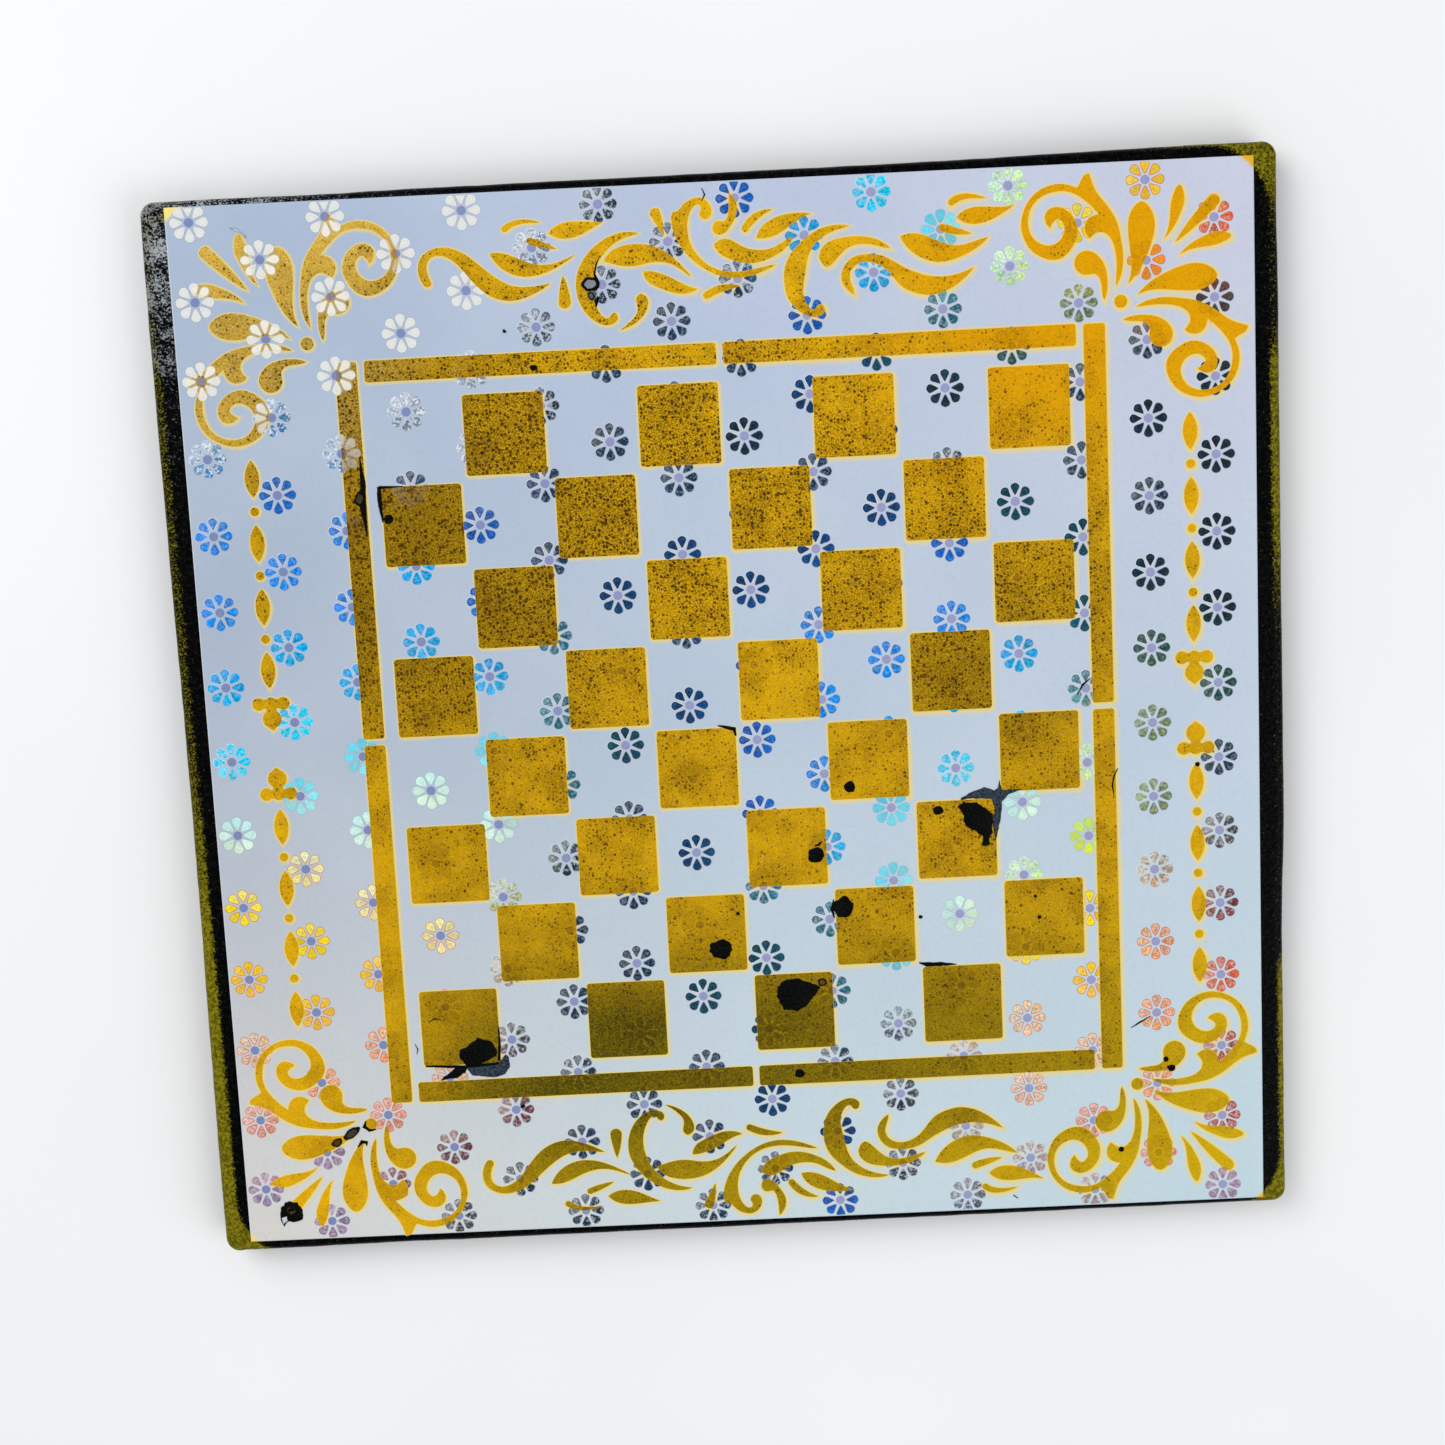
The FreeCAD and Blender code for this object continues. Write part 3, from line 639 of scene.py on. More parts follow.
def overspray_amount(x, y):
    """How much gold overspray the panel shows there. Some stretches of the rim are nearly black,
    among them the right rim from about 75 mm in front of the grid's middle to 8 mm behind it.
    """
    amount = 1.0
    if x > 140:
        bright = smooth(y, 8, 60) * (1 - smooth(y, 94, 108))
        amount = 0.12 + 0.7 * bright + 0.16 * smooth(y, 94, 108) + 0.5 * smooth(y, 134, 150)
        amount += 0.88 * (1 - smooth(y, -83, -75))
    if y > 150 and x < 136:
        amount = 0.1 + 0.8 * smooth(x, 110, 136)
    if x < -120:
        amount = 0.95 - 0.5 * smooth(y, -80, 20) - 0.1 * smooth(y, 100, 140)
    return amount


def edge_drift(x, y, angle):
    """How far the hand-sawn panel's edge lies outside a true rectangle there."""
    right = 1.1 * smooth(y, -75, -35)
    left = 1.4 * smooth(-y, 0, 150) - 0.6 * smooth(y, 110, 150)
    back = 0.6 * smooth(x, 60, 130)
    drift = max(math.cos(angle), 0.0) * right + max(-math.cos(angle), 0.0) * left
    return drift + max(math.sin(angle), 0.0) * back


def quarter_turn(steps):
    """Sine and cosine at each step of a quarter turn."""
    turns = [math.pi / 2 * k / steps for k in range(steps + 1)]
    return [(math.sin(turn), math.cos(turn)) for turn in turns]


def make_panel():
    piece = Piece("painted_panel", numbers=("overspray", "worn"))
    profile = [(PANEL_ROUND * (1 - sine), PANEL_ROUND * (1 - cosine))
               for sine, cosine in quarter_turn(6)]
    profile += [(0.0, height) for height in SIDE_HEIGHTS]
    profile += [(PANEL_ROUND * (1 - cosine), PANEL_TOP - PANEL_ROUND * (1 - sine))
                for sine, cosine in quarter_turn(8)]
    profile += [(inset, PANEL_TOP) for inset in TOP_INSETS]
    loops = []
    for inset, z in profile:
        loop = []
        fullness = smooth(TOP_INSETS[-1] - inset, 0.0, 6.0) * smooth(z, 0.0, 3.0)
        reached = 0.3 + 0.7 * smooth(z, 1.0, 10.0)
        for x, y, angle in panel_loop(inset):
            wave = 0.24 * noise.noise(Vector((x / 31, y / 31, 3.0)))
            wave += 0.08 * noise.noise(Vector((x / 4.5, y / 4.5, z / 4.0)))
            wave += edge_drift(x, y, angle)
            x += PANEL_CENTRE.x + fullness * wave * math.cos(angle)
            y += PANEL_CENTRE.y + fullness * wave * math.sin(angle)
            # The back-left corner, where grey specks are painted on the black as highlights.
            worn = smooth(-x, 60, 150) * smooth(y, 60, 150)
            spray = reached * overspray_amount(x, y)
            loop.append(piece.point(x, y, z, overspray=spray, worn=worn))
        loops.append(loop)
    piece.stack(loops)
    piece.flat_faces.append(loops[-1])
    piece.build(black_gloss, "painted_wood", "board_panel")


# --- The film ---

FILM_HALF = Vector((153.25, 153.5))
FILM_TURN = math.radians(-0.25)
FILM_CENTRE = ((film_low + film_high) / 2 - GRID_MIDDLE) / MM
# Nothing is printed or sprayed nearer than this to the film's cut edge.
FILM_SKIN = 0.35
# How deep a layer reaches into the one under it, so that no gap shows.
FILM_GRIP = 0.02
FILM_STEPS = 70


def film_place(u, v):
    """Plan place of a point given along the film's own sides."""
    return around(FILM_CENTRE, u, v, FILM_TURN)


def film_steps(half):
    """Evenly spaced places across the film, with one more at each cut edge."""
    inner = half - FILM_SKIN
    middle = [-inner + 2 * inner * k / FILM_STEPS for k in range(FILM_STEPS + 1)]
    return [-half] + middle + [half]


def make_film():
    piece = Piece("pearl_film_sheet", numbers=("scuffed",), colours=("tint",))
    us = film_steps(FILM_HALF.x)
    vs = film_steps(FILM_HALF.y)
    rows = []
    for v in vs:
        row = []
        for u in us:
            x, y = film_place(u, v)
            # The film's left cut edge is painted near-white: a painted highlight where the edge
            # catches the light.
            tint = srgb(240, 242, 245) if u == -FILM_HALF.x else film_tint(x, y)
            scuffed = max(smooth(-x, 90, 150) * smooth(-y, 60, 110), 0.35 * smooth(x, 100, 150))
            edge = abs(u) == FILM_HALF.x or abs(v) == FILM_HALF.y
            z = FILM_TOP - (0.05 if edge else 0.0)
            row.append(piece.point(x, y, z, tint=tint, scuffed=scuffed))
        rows.append(row)
    for lower, upper in zip(rows, rows[1:]):
        for k in range(len(us) - 1):
            piece.faces.append((lower[k], lower[k + 1], upper[k + 1], upper[k]))
    rim = rows[0] + [row[-1] for row in rows[1:]] + rows[-1][-2::-1]
    rim += [row[0] for row in rows[-2:0:-1]]
    base = []
    for index in rim:
        x, y = to_plan(*piece.points[index][:2])
        base.append(piece.point(x, y, PANEL_TOP - FILM_GRIP, tint=film_tint(x, y)))
    piece.stack((base, rim))
    piece.build(pearl_film, "pearl_film", "daisy_film")


# --- The foil daisies ---

# Half of a petal's outline: distance from the daisy's middle, and half of the width there.
PETAL_OUTLINE = ((PETAL_START, 0.0), (1.8, 0.36), (2.3, 0.66), (3.0, 1.0), (3.8, 1.34),
                 (4.45, 1.46), (5.05, 1.22), (5.42, 0.7), (PETAL_END, 0.0))
# Heights of the embossed foil: its foot, the top of its edge, the crest and the dip inside it.
FOIL_FOOT = FILM_TOP - 0.012
FOIL_EDGE = FILM_TOP + 0.02
FOIL_CREST = FILM_TOP + 0.032
FOIL_DIP = FILM_TOP + 0.022
FOIL_SAG = 0.002
DISC_STEPS = 14
DISC_GRAIN = 0.15


def petal_loop(inset):
    """A petal's outline drawn in by inset, anticlockwise about its own middle."""
    left = []
    for along, half in PETAL_OUTLINE:
        beyond = along - PETAL_MIDDLE
        if abs(beyond) > 0.8:
            along -= inset if beyond > 0 else -1.3 * inset
        left.append((along, max(half - inset, 0.0)))
    right = [(along, -half) for along, half in left]
    return right[:-1] + left[:0:-1]


def clamp_to_film(x, y):
    """Trims what is printed or sprayed at the film's cut edge."""
    offset = Vector((x - FILM_CENTRE.x, y - FILM_CENTRE.y))
    u, v = around(Vector((0.0, 0.0)), offset.x, offset.y, -FILM_TURN)
    limit_u = FILM_HALF.x - FILM_SKIN
    limit_v = FILM_HALF.y - FILM_SKIN
    return film_place(min(max(u, -limit_u), limit_u), min(max(v, -limit_v), limit_v))


def brightness(colour):
    return 0.21 * colour.x + 0.72 * colour.y + 0.07 * colour.z


def petal_colour(column, row, angle, chance):
    """The daisy's own colour, drawn towards its neighbour on that side, and never quite even."""
    own = daisy_colour(column, row)
    if own == FOIL[PLAIN]:
        return own
    beside = daisy_colour(column + (1 if math.cos(angle) > 0 else -1), row)
    beyond = daisy_colour(column, row + (1 if math.sin(angle) > 0 else -1))
    share_x = 0.16 * abs(math.cos(angle))
    share_y = 0.18 * abs(math.sin(angle))
    colour = own * (1 - share_x - share_y) + beside * share_x + beyond * share_y
    return colour * chance.uniform(0.88, 1.14)


def add_foil(piece, rings, middle, height, **look):
    """A closed foil mark: rings of places from the foot up, each with its height and look."""
    loops = []
    for places, z, ring_look in rings:
        loops.append([piece.point(*clamp_to_film(x, y), z, **ring_look) for x, y in places])
    piece.stack(loops, piece.point(*clamp_to_film(*middle), height, **look))


def add_petal(piece, centre, angle, colour, rim, grain, streak):
    bright = brightness(colour) > 0.28
    warm = rim[0] > 1.5 * rim[2]
    rim_inset = 0.15 if bright and warm else 0.04
    core_inset = 0.25 if not bright else 0.32 if warm else 0.14
    border = colour if bright else colour * 0.72
    inner = colour * 0.92 if bright else (colour * 1.15).lerp(srgb(120, 156, 180), 0.08)
    rings = []
    for inset, z, tone, mottle in ((0.0, FOIL_FOOT, rim, 0.0),
                                   (rim_inset, FOIL_EDGE, rim, 0.0),
                                   (core_inset, FOIL_CREST, border, grain),
                                   (core_inset + 0.42, FOIL_DIP, inner, grain)):
        places = [around(centre, along, side, angle) for along, side in petal_loop(inset)]
        rings.append((places, z, {"foil": tone, "grain": mottle, "streak": streak * mottle}))
    middle = around(centre, PETAL_MIDDLE, 0.0, angle)
    add_foil(piece, rings, middle, FOIL_DIP + FOIL_SAG, foil=colour, grain=grain, streak=streak)


def add_disc(piece, centre, colour):
    rings = []
    for radius, z, tone in ((DISC_RADIUS + 0.12, FOIL_FOOT, srgb(206, 210, 226)),
                            (DISC_RADIUS, FOIL_EDGE, colour),
                            (DISC_RADIUS * 0.5, FOIL_CREST - FOIL_SAG, colour)):
        places = [around(centre, radius, 0.0, math.tau * k / DISC_STEPS)
                  for k in range(DISC_STEPS)]
        rings.append((places, z, {"foil": tone, "grain": DISC_GRAIN}))
    add_foil(piece, rings, centre, FOIL_CREST, foil=colour, grain=DISC_GRAIN)


def make_daisies(name, rows, seed):
    chance = random.Random(seed)
    piece = Piece(name, numbers=("grain", "streak"), colours=("foil",))
    for row in rows:
        for column in range(DAISY_COLUMNS):
            if not daisy_is_printed(column, row):
                continue
            centre = daisy_centre(column, row)
            letter = DAISIES[TOP_ROW - row][column]
            bright = brightness(FOIL[letter]) > 0.25 and letter not in STREAKS
            grain = 0.08 if letter in PLAIN else 0.35 if bright else 1.0
            streak = STREAKS.get(letter, 0.0)
            for k in range(PETALS):
                angle = DAISY_TURN + math.tau * k / PETALS
                colour = petal_colour(column, row, angle, chance)
                tip = centre + 3.0 * Vector((math.cos(angle), math.sin(angle)))
                if (Vector(clamp_to_film(tip.x, tip.y)) - tip).length > 0.01:
                    continue
                # Petals that point to the back-left get a painted highlight: streaked petals whiten
                # there, and dark daisies' rims turn white there.
                lit = smooth(math.cos(angle - 2.4), -0.3, 0.9)
                colour = colour.lerp(srgb(236, 241, 248), 0.6 * streak * lit)
                if letter in PLAIN:
                    rim = srgb(166, 166, 186)
                elif letter in WARM:
                    rim = (colour * 0.7).lerp(srgb(222, 96, 44), 0.7)
                elif bright:
                    rim = (colour * 0.6).lerp(srgb(130, 150, 180), 0.5)
                else:
                    rim = srgb(190, 200, 218).lerp(srgb(246, 248, 252), lit)
                add_petal(piece, centre, angle, colour, rim, grain, streak)
            disc = srgb(130, 142, 188).lerp(srgb(160, 162, 202), smooth(centre.x, -120, 20))
            add_disc(piece, centre, disc)
    piece.build(foil, "pearl_film")


# --- The gold paint ---

# The spray's thin shoulder at its outline, and how far its outer edge sinks into the film.
SHOULDER = 0.16
FEATHER_FALL = 0.006
# The paint's outline and the mesh inside it are divided into steps of about these lengths.
OUTLINE_STEP = 1.4
INNER_STEP = 3.1


def cap_of(node):
    """The flat top of a CAD node's paint: plan points and triangles, with long edges divided."""
    mesh = bmesh.new()
    mesh.from_mesh(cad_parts[node].data)
    bmesh.ops.remove_doubles(mesh, verts=mesh.verts, dist=1e-6)
    level = (GOLD_TOP - 0.01) * MM
    top = {face for face in mesh.faces if all(v.co.z > level for v in face.verts)}
    places = []
    index_of = {}

    def place_index(vertex):
        if vertex not in index_of:
            index_of[vertex] = len(places)
            places.append(to_plan(vertex.co.x, vertex.co.y))
        return index_of[vertex]

    rim = []
    for edge in mesh.edges:
        if sum(face in top for face in edge.link_faces) != 1:
            continue
        first, last = (place_index(v) for v in edge.verts)
        parts = max(1, math.ceil((places[first] - places[last]).length / OUTLINE_STEP))
        chain = [first]
        for n in range(1, parts):
            places.append(places[first].lerp(places[last], n / parts))
            chain.append(len(places) - 1)
        chain.append(last)
        rim.extend(zip(chain, chain[1:]))
    mesh.free()
    tree = KDTree(len(places))
    for k, place in enumerate(places):
        tree.insert((place.x, place.y, 0.0), k)
    tree.balance()
    low = Vector((min(p.x for p in places), min(p.y for p in places)))
    high = Vector((max(p.x for p in places), max(p.y for p in places)))
    for i in range(int((high.x - low.x) / INNER_STEP) + 1):
        for j in range(int((high.y - low.y) / INNER_STEP) + 1):
            x = low.x + INNER_STEP * (i + 0.5)
            y = low.y + INNER_STEP * (j + 0.5)
            if tree.find((x, y, 0.0))[2] > 1.0:
                places.append(Vector((x, y)))
    found = delaunay_2d_cdt(places, rim, [], 2, 1e-5)
    return found[0], [tuple(face) for face in found[2]]


def outward_normals(places, triangles):
    """For each point on the outline, its outward direction, and the outline's directed edges."""
    directed = set()
    for a, b, c in triangles:
        directed.update(((a, b), (b, c), (c, a)))
    edges = sorted((a, b) for a, b in directed if (b, a) not in directed)
    normals = {}
    for a, b in edges:
        along = (places[b] - places[a]).normalized()
        normal = Vector((along.y, -along.x))
        for k in (a, b):
            normals.setdefault(k, []).append(normal)
    result = {}
    for k, found in normals.items():
        total = sum(found, Vector((0.0, 0.0)))
        length = total.length
        miter = min(len(found) / max(length, 0.3), 1.6)
        result[k] = total.normalized() * miter if length > 1e-6 else found[0]
    return result, edges


def feather_width(x, y, normal):
    """How far the spray drifted under the stencil: furthest to the front and the right."""
    width = 1.1 + 0.6 * smooth(x, -60, 60)
    width *= 1 + 0.5 * normal.normalized().dot(Vector((0.6, -0.8)))
    return width * (1 + 0.35 * noise.noise(Vector((x / 9, y / 9, 5.0))))


def paint_values(x, y):
    # The back-left corner gets a painted highlight: shine pales the gold there, and the daisies
    # under it show more.
    in_corner = smooth(-x, 70, 110) * smooth(y, 60, 110)
    mist = sample(MIST, x, y, TABLE_REACH)
    return {
        "specks": sample(SPECKS, x, y, TABLE_REACH),
        "mist": mist,
        "shine": in_corner,
        "show": min(0.3 + 0.5 * in_corner + 0.5 * mist, 0.85),
        "tint": film_tint(x, y),
    }


def make_gold(node):
    """A CAD node's marks with the same outlines, feathered out thinly over the film."""
    piece = Piece(node + "_paint", numbers=("cover", "specks", "mist", "shine", "show"),
                  colours=("tint",))
    places, triangles = cap_of(node)
    normals, edges = outward_normals(places, triangles)
    top = {}
    under = {}
    for k in sorted({k for triangle in triangles for k in triangle}):
        values = paint_values(*places[k])
        top[k] = piece.point(*places[k], GOLD_TOP, cover=1.0, **values)
        under[k] = piece.point(*places[k], FILM_TOP - FILM_GRIP, cover=1.0, **values)
    middle = {}
    outer = {}
    for k, normal in normals.items():
        values = paint_values(*places[k])
        near = places[k] + normal * SHOULDER
        far = places[k] + normal * feather_width(*places[k], normal)
        middle[k] = piece.point(*near, FILM_TOP + 0.02, cover=0.72, **values)
        outer[k] = piece.point(*clamp_to_film(*far), FILM_TOP - FEATHER_FALL, cover=0.0, **values)
    for a, b, c in triangles:
        piece.flat_faces.append((top[a], top[b], top[c]))
        piece.flat_faces.append((under[c], under[b], under[a]))
    for a, b in edges:
        for inner, beyond in ((top, middle), (middle, outer), (outer, under)):
            piece.flat_faces.append((inner[a], beyond[a], beyond[b], inner[b]))
    piece.build(gold_paint, "gold_paint", node)


# --- Black drops, runs and torn spots ---

DROP_FOOT = FILM_TOP - FILM_GRIP
DROP_UNEVEN = 0.16
SIDE_STEP = 0.6
# A step through the noise to a part of it that has nothing to do with the first.
ELSEWHERE = Vector((0.0, 0.0, 40.0))


def round_outline(x, y, long, wide, turn, seed):
    """An uneven blob's outline. long and wide are its half sizes, and turn is in degrees."""
    count = max(12, round(10 * long))
    outline = []
    for k in range(count):
        angle = math.tau * k / count
        cosine = math.cos(angle)
        sine = math.sin(angle)
        wobble = noise.noise(Vector((1.4 * cosine, 1.4 * sine, seed)))
        jag = noise.noise(Vector((5.2 * cosine, 5.2 * sine, seed + 9)))
        scale = 1 + DROP_UNEVEN * (1.6 * wobble + 0.8 * jag)
        place = around(Vector((x, y)), long * scale * cosine, wide * scale * sine,
                       math.radians(turn))
        outline.append(Vector(place))
    return outline


def ribbon_outline(run):
    """The outline of a run of paint, from places along it and the width at each."""
    places = [Vector((x, y)) for x, y, _ in run]
    left = []
    right = []
    for k, place in enumerate(places):
        before = places[max(k - 1, 0)]
        after = places[min(k + 1, len(places) - 1)]
        along = (after - before).normalized()
        normal = Vector((-along.y, along.x)) * run[k][2] / 2
        left.append(place + normal)
        right.append(place - normal)
    return right + left[::-1]


def divided(outline, uneven):
    """The outline with its long sides divided and made slightly uneven."""
    result = []
    for place, after in pairs(outline):
        count = max(1, round((after - place).length / SIDE_STEP))
        for n in range(count):
            point = place.lerp(after, n / count)
            spot = Vector((point.x / 0.9, point.y / 0.9, 2.5))
            drift = Vector((noise.noise(spot), noise.noise(spot + ELSEWHERE)))
            result.append(point + uneven * drift)
    return result


def is_clockwise(outline):
    return sum(place.cross(after) for place, after in pairs(outline)) < 0


def inward(outline, distance):
    """The outline drawn in by a distance."""
    result = []
    for k, place in enumerate(outline):
        before = outline[k - 1]
        after = outline[(k + 1) % len(outline)]
        along = (after - before).normalized()
        result.append(place + Vector((-along.y, along.x)) * distance)
    return result


def add_film_of_paint(piece, outline, height, torn=0.0, skin=0.12, uneven=0.11):
    """A thin closed body over an outline: a steep edge, a rounded shoulder and a flat top."""
    outline = divided([Vector(place) for place in outline], uneven)
    if is_clockwise(outline):
        outline = outline[::-1]
    inner = inward(outline, skin)
    foot = [piece.point(*place, DROP_FOOT) for place in outline]
    edge = [piece.point(*place, GOLD_TOP + height * 0.35) for place in outline]
    sides = list(pairs(list(range(len(inner)))))
    places, _, faces, origins, _, _ = delaunay_2d_cdt(inner, sides, [], 1, 1e-5)
    top = [piece.point(*place, GOLD_TOP + height, torn=torn) for place in places]
    place_of = {source: k for k, found in enumerate(origins) for source in found}
    crest = [top[place_of[k]] for k in range(len(inner))]
    piece.stack((foot, edge, crest))
    piece.faces.extend(tuple(top[k] for k in face) for face in faces)


def add_drop(piece, seed, x, y, long, wide, turn, height=0.16, torn=0.0, rusty=0.0):
    """A dried drop: a raised rim, and a middle that sank a little, tore open or went rusty."""
    outline = round_outline(x, y, long, wide, turn, seed)
    middle = Vector((x, y))
    layers = ((1.0, DROP_FOOT, 0.0), (0.99, GOLD_TOP + 0.35 * height, 0.0),
              (0.88, GOLD_TOP + height, 0.0), (0.68, GOLD_TOP + 0.85 * height, 0.0),
              (0.6, GOLD_TOP + 0.5 * height, 1.0), (0.28, GOLD_TOP + 0.4 * height, 1.0))
    loops = []
    for scale, z, inner in layers:
        loop = []
        for place in outline:
            spot = middle.lerp(place, scale)
            bump = 0.3 * height * noise.noise(Vector((spot.x, spot.y, seed))) * (scale < 0.95)
            loop.append(piece.point(*spot, z + bump, torn=inner * torn, rusty=inner * rusty))
        loops.append(loop)
    piece.stack(loops, piece.point(x, y, GOLD_TOP + 0.4 * height, torn=torn, rusty=rusty))


# x, y, half length, half width, turn in degrees.
DROPS = (
    (31.7, -20.4, 1.75, 1.6, 0), (20.9, -40.3, 2.5, 2.3, 20), (28.3, -56.5, 3.2, 3.0, 60),
    (-8.6, -67.3, 3.5, 2.9, 0), (57.2, -28.7, 1.5, 1.4, 0), (13.0, -106.9, 1.6, 1.3, 0),
    (-97.4, 64.8, 1.5, 1.3, 0), (-53.0, 105.7, 1.1, 0.9, 0), (-60.7, 116.4, 0.45, 0.45, 0),
    (-60.6, 116.2, 0.5, 0.4, 0), (122.5, -108.0, 0.85, 0.8, 0), (124.0, -110.8, 1.2, 1.1, 0),
    (108.5, -135.5, 0.85, 0.8, 0), (133.5, -18.8, 0.75, 0.7, 0), (-70.4, -112.9, 0.8, 0.5, 30),
    (50.9, -60.6, 0.6, 0.5, 0), (85.0, -56.0, 0.5, 0.5, 0), (86.0, -62.4, 0.6, 0.6, 0),
    (-3.0, -56.8, 0.6, 0.6, 0),
)
# Drops whose skin tore open: half sizes, turn, torn and rusty inside.
OPEN_DROPS = (
    (-142.4, -142.0, 1.9, 1.7, 0, 0.0, 0.75), (21.0, -79.0, 1.35, 1.25, 0, 0.0, 0.9),
    (-122.3, -118.8, 2.9, 1.3, 35, 0.6, 0.35), (-126.9, -121.4, 1.7, 1.2, 30, 0.0, 0.6),
    (-35.5, 128.2, 2.5, 2.0, 15, 1.4, 0.0), (-35.4, 124.9, 1.3, 1.0, 120, 1.2, 0.0),
    (-105.3, 71.0, 2.2, 1.5, 70, 0.3, 0.4),
)
# Runs, scratches and split paint edges: places along each one, with its width there.
RUNS = (
    ((-32.5, 135.6, 0.15), (-33.5, 133.4, 0.45), (-34.1, 131.0, 0.6), (-33.3, 128.6, 0.9),
     (-34.0, 126.8, 0.6)),
    ((-33.2, 125.0, 0.4), (-34.0, 123.4, 1.3), (-34.2, 121.6, 0.2)),
    ((-36.0, 126.4, 0.5), (-33.8, 126.8, 0.8), (-32.9, 127.6, 0.3)),
    ((-104.4, 83.0, 0.2), (-104.0, 76.0, 1.5), (-104.5, 69.0, 1.9), (-103.9, 60.5, 0.3)),
    ((-99.5, 74.0, 0.9), (-96.0, 74.0, 0.6), (-92.5, 74.0, 0.2)),
    ((-99.5, 74.2, 1.0), (-99.6, 70.5, 1.3), (-99.4, 67.0, 0.9), (-99.0, 64.0, 0.4)),
    ((-6.0, -0.2, 0.3), (-3.4, -0.9, 1.0), (-1.4, -1.4, 1.3), (-0.9, -3.4, 0.5)),
    ((50.0, -74.6, 0.4), (52.2, -75.2, 1.3), (56.5, -75.3, 1.2), (61.0, -75.6, 0.2)),
    ((-76.0, -87.9, 0.3), (-76.1, -93.2, 0.7), (-76.6, -98.4, 0.9)),
    ((-76.6, -99.1, 0.8), (-86.0, -99.8, 0.9), (-92.4, -99.4, 0.8), (-98.6, -99.0, 0.5)),
    ((64.0, -25.8, 0.3), (67.5, -25.2, 0.5), (73.4, -25.2, 0.6), (73.9, -27.6, 0.5),
     (74.2, -31.5, 0.3)),
    ((-96.8, -85.5, 0.2), (-94.8, -84.4, 0.5), (-93.0, -84.9, 0.2)),
    ((-117.8, -115.2, 0.3), (-118.4, -116.9, 1.2), (-117.0, -118.1, 1.0), (-114.8, -117.9, 0.3)),
    ((-120.9, -123.2, 0.3), (-119.4, -121.6, 1.2), (-118.0, -121.9, 1.1), (-118.2, -122.9, 0.3)),
    ((112.3, -97.8, 0.15), (115.0, -96.2, 0.45), (118.2, -94.4, 0.15)),
    ((110.2, -18.8, 0.15), (109.0, -21.0, 0.5), (108.5, -24.0, 0.5), (108.9, -27.2, 0.15)),
    ((98.8, 3.5, 0.2), (100.6, 6.4, 0.6), (102.8, 8.2, 0.2)),
    ((-2.6, 153.0, 0.2), (-1.9, 151.2, 0.45), (-2.9, 149.4, 0.2)),
    ((20.4, -37.6, 0.2), (21.9, -37.2, 0.8), (22.8, -36.2, 0.3)),
    ((25.4, -54.0, 0.3), (24.8, -57.0, 1.0), (25.5, -59.6, 0.3)),
    ((-101.4, -92.0, 0.15), (-100.6, -93.6, 0.35), (-101.0, -95.2, 0.15)),
    ((75.6, -148.4, 0.3), (77.0, -149.4, 0.3)),
)
# The large blots' jagged outlines.
BLOTS = (
    ((63.0, -28.0), (65.0, -26.5), (68.5, -27.0), (71.5, -29.0), (73.0, -30.5), (73.0, -36.0),
     (72.0, -38.0), (72.0, -40.0), (70.0, -40.0), (70.0, -37.5), (68.0, -35.5), (66.0, -34.5),
     (64.5, -32.0), (64.5, -30.5)),
    ((-88.0, -94.5), (-85.0, -93.0), (-82.5, -91.0), (-79.0, -92.0), (-77.0, -94.5),
     (-77.5, -97.0), (-82.5, -99.5), (-86.5, -99.5), (-88.5, -96.0)),
    ((7.5, -80.0), (9.5, -78.0), (14.0, -77.5), (17.5, -79.0), (20.5, -80.5), (18.5, -83.0),
     (16.0, -86.0), (13.0, -87.5), (9.5, -87.0), (7.5, -83.5)),
    ((-145.5, -141.5), (-144.0, -139.5), (-140.5, -139.5), (-139.0, -142.0), (-139.5, -145.0),
     (-141.5, -146.0), (-143.5, -145.5), (-145.0, -147.0), (-146.0, -145.0)),
    ((-94.5, -103.5), (-92.5, -102.0), (-89.5, -100.0), (-86.0, -100.0), (-87.0, -101.5),
     (-89.5, -103.0)),
)
# Torn flaps of film, dark side up.
FLAPS = (
    ((64.0, -25.5), (66.5, -24.0), (71.0, -22.5), (74.0, -23.5), (75.0, -23.0), (75.5, -20.5),
     (76.0, -23.5), (82.0, -23.5), (78.0, -25.0), (76.0, -27.0), (75.5, -32.0), (74.0, -38.5),
     (73.5, -36.5), (73.0, -32.0), (74.0, -29.5), (73.0, -26.0)),
    ((-86.5, -100.0), (-77.0, -99.5), (-74.5, -96.5), (-73.5, -97.5), (-73.5, -100.5),
     (-75.0, -102.5), (-78.0, -103.5), (-85.0, -102.5)),
)
# Pale slivers where the film's face came off.
SLIVERS = (
    ((-145.6, -144.4), (-144.0, -143.8), (-143.8, -145.4), (-145.2, -146.4)),
    ((-33.9, 126.0), (-32.8, 125.2), (-33.4, 124.4)),
    ((-136.0, 148.9), (-134.0, 148.5), (-132.0, 146.9), (-131.6, 145.9), (-133.0, 147.2)),
)


def make_black_paint():
    piece = Piece("black_paint_drops", numbers=("torn", "rusty"))
    for seed, drop in enumerate(DROPS):
        add_drop(piece, seed, *drop)
    for seed, (*drop, torn, rusty) in enumerate(OPEN_DROPS, start=50):
        add_drop(piece, seed, *drop, height=0.3, torn=torn, rusty=rusty)
    for run in RUNS:
        add_film_of_paint(piece, ribbon_outline(run), 0.06, skin=0.04)
    for outline in BLOTS:
        add_film_of_paint(piece, outline, 0.16, skin=0.3, uneven=0.45)
    piece.build(paint_drops, "painted_wood")


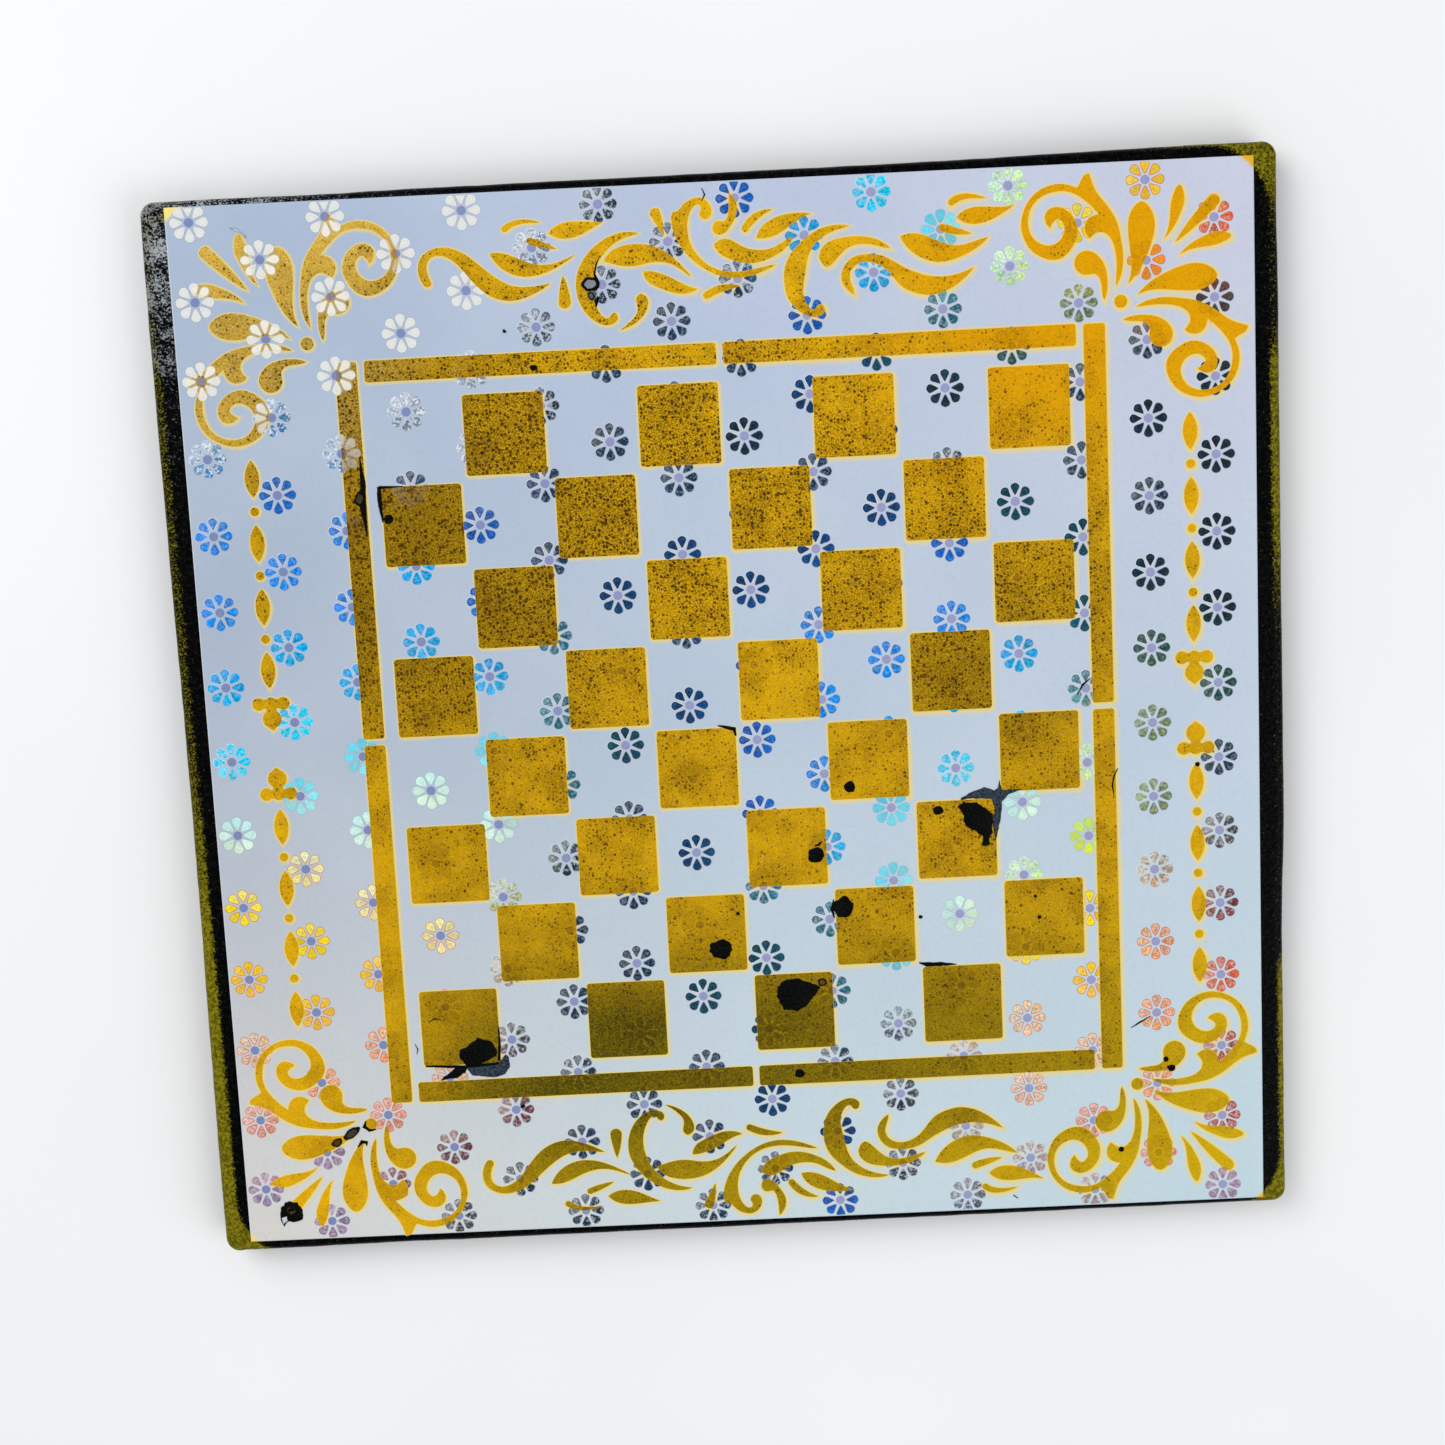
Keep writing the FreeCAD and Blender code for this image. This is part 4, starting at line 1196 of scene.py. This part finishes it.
def make_flaps():
    piece = Piece("torn_film_flaps", numbers=("torn", "rusty"))
    for outline in FLAPS:
        add_film_of_paint(piece, outline, 0.1, torn=1.0, skin=0.22, uneven=0.2)
    for outline in SLIVERS:
        add_film_of_paint(piece, outline, 0.24, torn=2.0, skin=0.08)
    piece.build(paint_drops, "pearl_film")


make_panel()
make_film()
make_daisies("foil_daisies_back", range(TOP_ROW, 2, -1), seed=12)
make_daisies("foil_daisies_front", range(2, BOTTOM_ROW - 1, -1), seed=5)
for gold_node in GOLD_NODES:
    make_gold(gold_node)
make_black_paint()
make_flaps()


# --- Stage, lights and camera ---

def make_floor():
    mesh = bpy.data.meshes.new("floor")
    shape = bmesh.new()
    bmesh.ops.create_grid(shape, x_segments=8, y_segments=8, size=3.0)
    shape.to_mesh(mesh)
    shape.free()
    mesh.materials.append(make_floor_finish())
    floor = bpy.data.objects.new("floor", mesh)
    floor.location.z = panel_low.z
    bpy.context.scene.collection.objects.link(floor)


def add_light(name, place, power, size):
    light = bpy.data.lights.new(name, "AREA")
    light.energy = power
    light.size = size
    lamp = bpy.data.objects.new(name, light)
    lamp.location = place
    lamp.rotation_euler = (-Vector(place)).to_track_quat("-Z", "Y").to_euler()
    bpy.context.scene.collection.objects.link(lamp)


def make_world():
    world = bpy.data.worlds.new("studio")
    world.use_nodes = True
    background = world.node_tree.nodes["Background"]
    background.inputs["Color"].default_value = (0.94, 0.97, 1.0, 1.0)
    background.inputs["Strength"].default_value = 0.47
    bpy.context.scene.world = world


def make_camera():
    """The photo's viewpoint, worked out from the perspective of the square grid."""
    camera = bpy.data.cameras.new("camera")
    camera.lens = 59.7
    camera.sensor_width = 36.0
    camera.clip_start = 0.01
    viewer = bpy.data.objects.new("camera", camera)
    viewer.location = (0.0047, 0.1178, 0.7010)
    viewer.rotation_euler = [math.radians(a) for a in (-9.767, 0.099, -2.951)]
    bpy.context.scene.collection.objects.link(viewer)
    bpy.context.scene.camera = viewer


make_floor()
make_world()
make_camera()
add_light("key", (-0.9, 0.9, 1.3), 16.0, 1.2)
add_light("fill", (1.1, -0.7, 1.2), 10.0, 1.4)
bpy.context.scene.view_settings.view_transform = "Standard"
